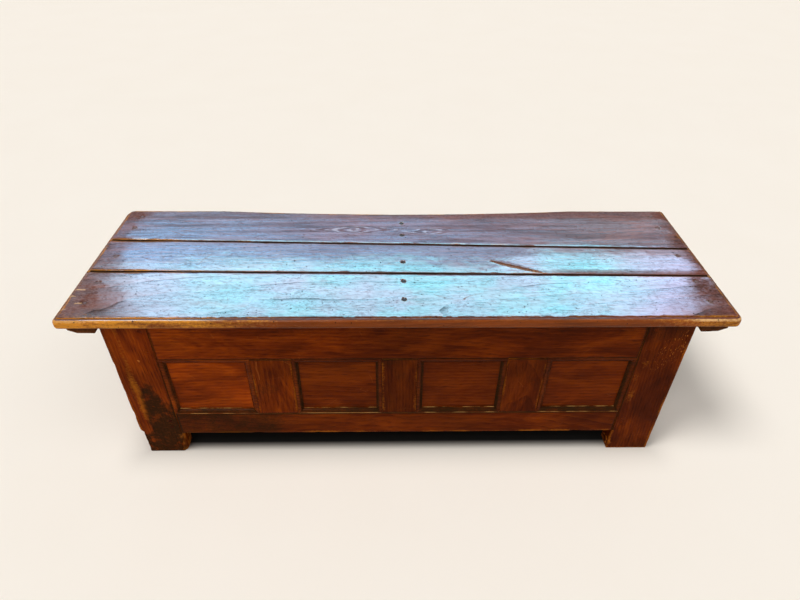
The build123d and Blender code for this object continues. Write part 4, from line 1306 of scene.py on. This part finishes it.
def make_frame():
    posts = {
        "front_left_post": (left_post_wear, break_left_foot),
        "front_right_post": (right_post_wear, break_right_foot),
        "back_left_post": (post_wear, None),
        "back_right_post": (post_wear, None),
    }
    for seed, (node, (hand, breaks)) in enumerate(posts.items()):
        post = worn_piece(node, 4 * MM, hand, 20.0 + seed, 1.4 * MM, 1.3 * MM, breaks=breaks)
        dress(post, wood(node, "Z", 1.0 + seed, "frame"))
    for seed, side in enumerate(("front", "back", "left", "right")):
        along = "X" if side in ("front", "back") else "Y"
        low_hand = stained_rail_wear if side == "front" else rail_wear
        for level, hand in (("top", rail_wear), ("bottom", low_hand)):
            node = side + "_" + level + "_rail"
            rail = worn_piece(node, 5 * MM, hand, 30.0 + seed)
            grain_seed = 5.0 + seed + (9.5 if level == "top" else 0)
            dress(rail, wood(node, along, grain_seed, "frame"))
    muntins = ["front_muntin_%d" % number for number in (1, 2, 3)] + ["back_muntin_1", "back_muntin_2"]
    for seed, node in enumerate(muntins):
        muntin = worn_piece(node, 4.5 * MM, muntin_wear, 40.0 + seed)
        dress(muntin, wood(node, "Z", 21.0 + seed, "frame"))


def make_panels():
    panels = ["front_panel_%d" % number for number in (1, 2, 3, 4)]
    panels += ["back_panel_%d" % number for number in (1, 2, 3)] + ["left_panel", "right_panel"]
    for seed, node in enumerate(panels):
        panel = worn_piece(node, 6 * MM, panel_wear, 50.0 + seed)
        along = "Y" if node in ("left_panel", "right_panel") else "X"
        dress(panel, wood(node, along, 31.0 + 1.3 * seed, "panel"))
    moulding = wood("moulding", "X", 3.0, "moulding")
    for number in (1, 2, 3, 4):
        node = "front_moulding_%d" % number
        strips = worn_piece(node, 3.5 * MM, moulding_hand(node), 60.0 + number, 0.3 * MM, 0.4 * MM)
        dress(strips, moulding)


def make_hidden_wood():
    for number in range(1, 8):
        node = "floor_board_%d" % number
        board = worn_piece(node, 14 * MM, plain_wear, 70.0 + number)
        dress(board, wood(node, "Y", 41.0 + number, "inner"))
    ledge_x = wood("ledge_long", "X", 51.0, "inner")
    ledge_y = wood("ledge_short", "Y", 52.0, "inner")
    for side in ("front", "back", "left", "right"):
        paint(frame["nodes"]["floor_ledge_" + side], ledge_x if side in ("front", "back") else ledge_y)
    peg = wood("peg", "Y", 61.0, "frame")
    for node in ("front_pegs", "back_pegs", "end_pegs"):
        paint(frame["nodes"][node], peg)


def make_iron():
    metal = iron("old_iron", srgb(66, 58, 52), srgb(34, 30, 28), srgb(92, 48, 24), 0.8)
    nail_metal = iron("nail_iron", srgb(36, 26, 23), srgb(17, 13, 12), srgb(58, 34, 24), 0.08, 0.15)
    for side in ("left", "right"):
        for leaf in ("back", "lid"):
            node = side + "_hinge_" + leaf + "_strap"
            strap = worn_piece(node, 3.5 * MM, iron_wear, 80.0, 0.5 * MM, 0.4 * MM)
            dress(strap, metal)
    nails = worn_piece("lid_nails", 2 * MM, nail_wear, 90.0, 0.7 * MM, 0.2 * MM, 1 * MM)
    dress(nails, nail_metal)
    for node in ("hinge_pins", "hinge_lid_nails", "hinge_back_nails", "floor_nails"):
        paint(frame["nodes"][node], metal)


place_camera()
light_stage()
lay_floor()
make_lid()
make_frame()
make_panels()
make_hidden_wood()
make_iron()

bpy.context.scene.view_settings.view_transform = "Standard"
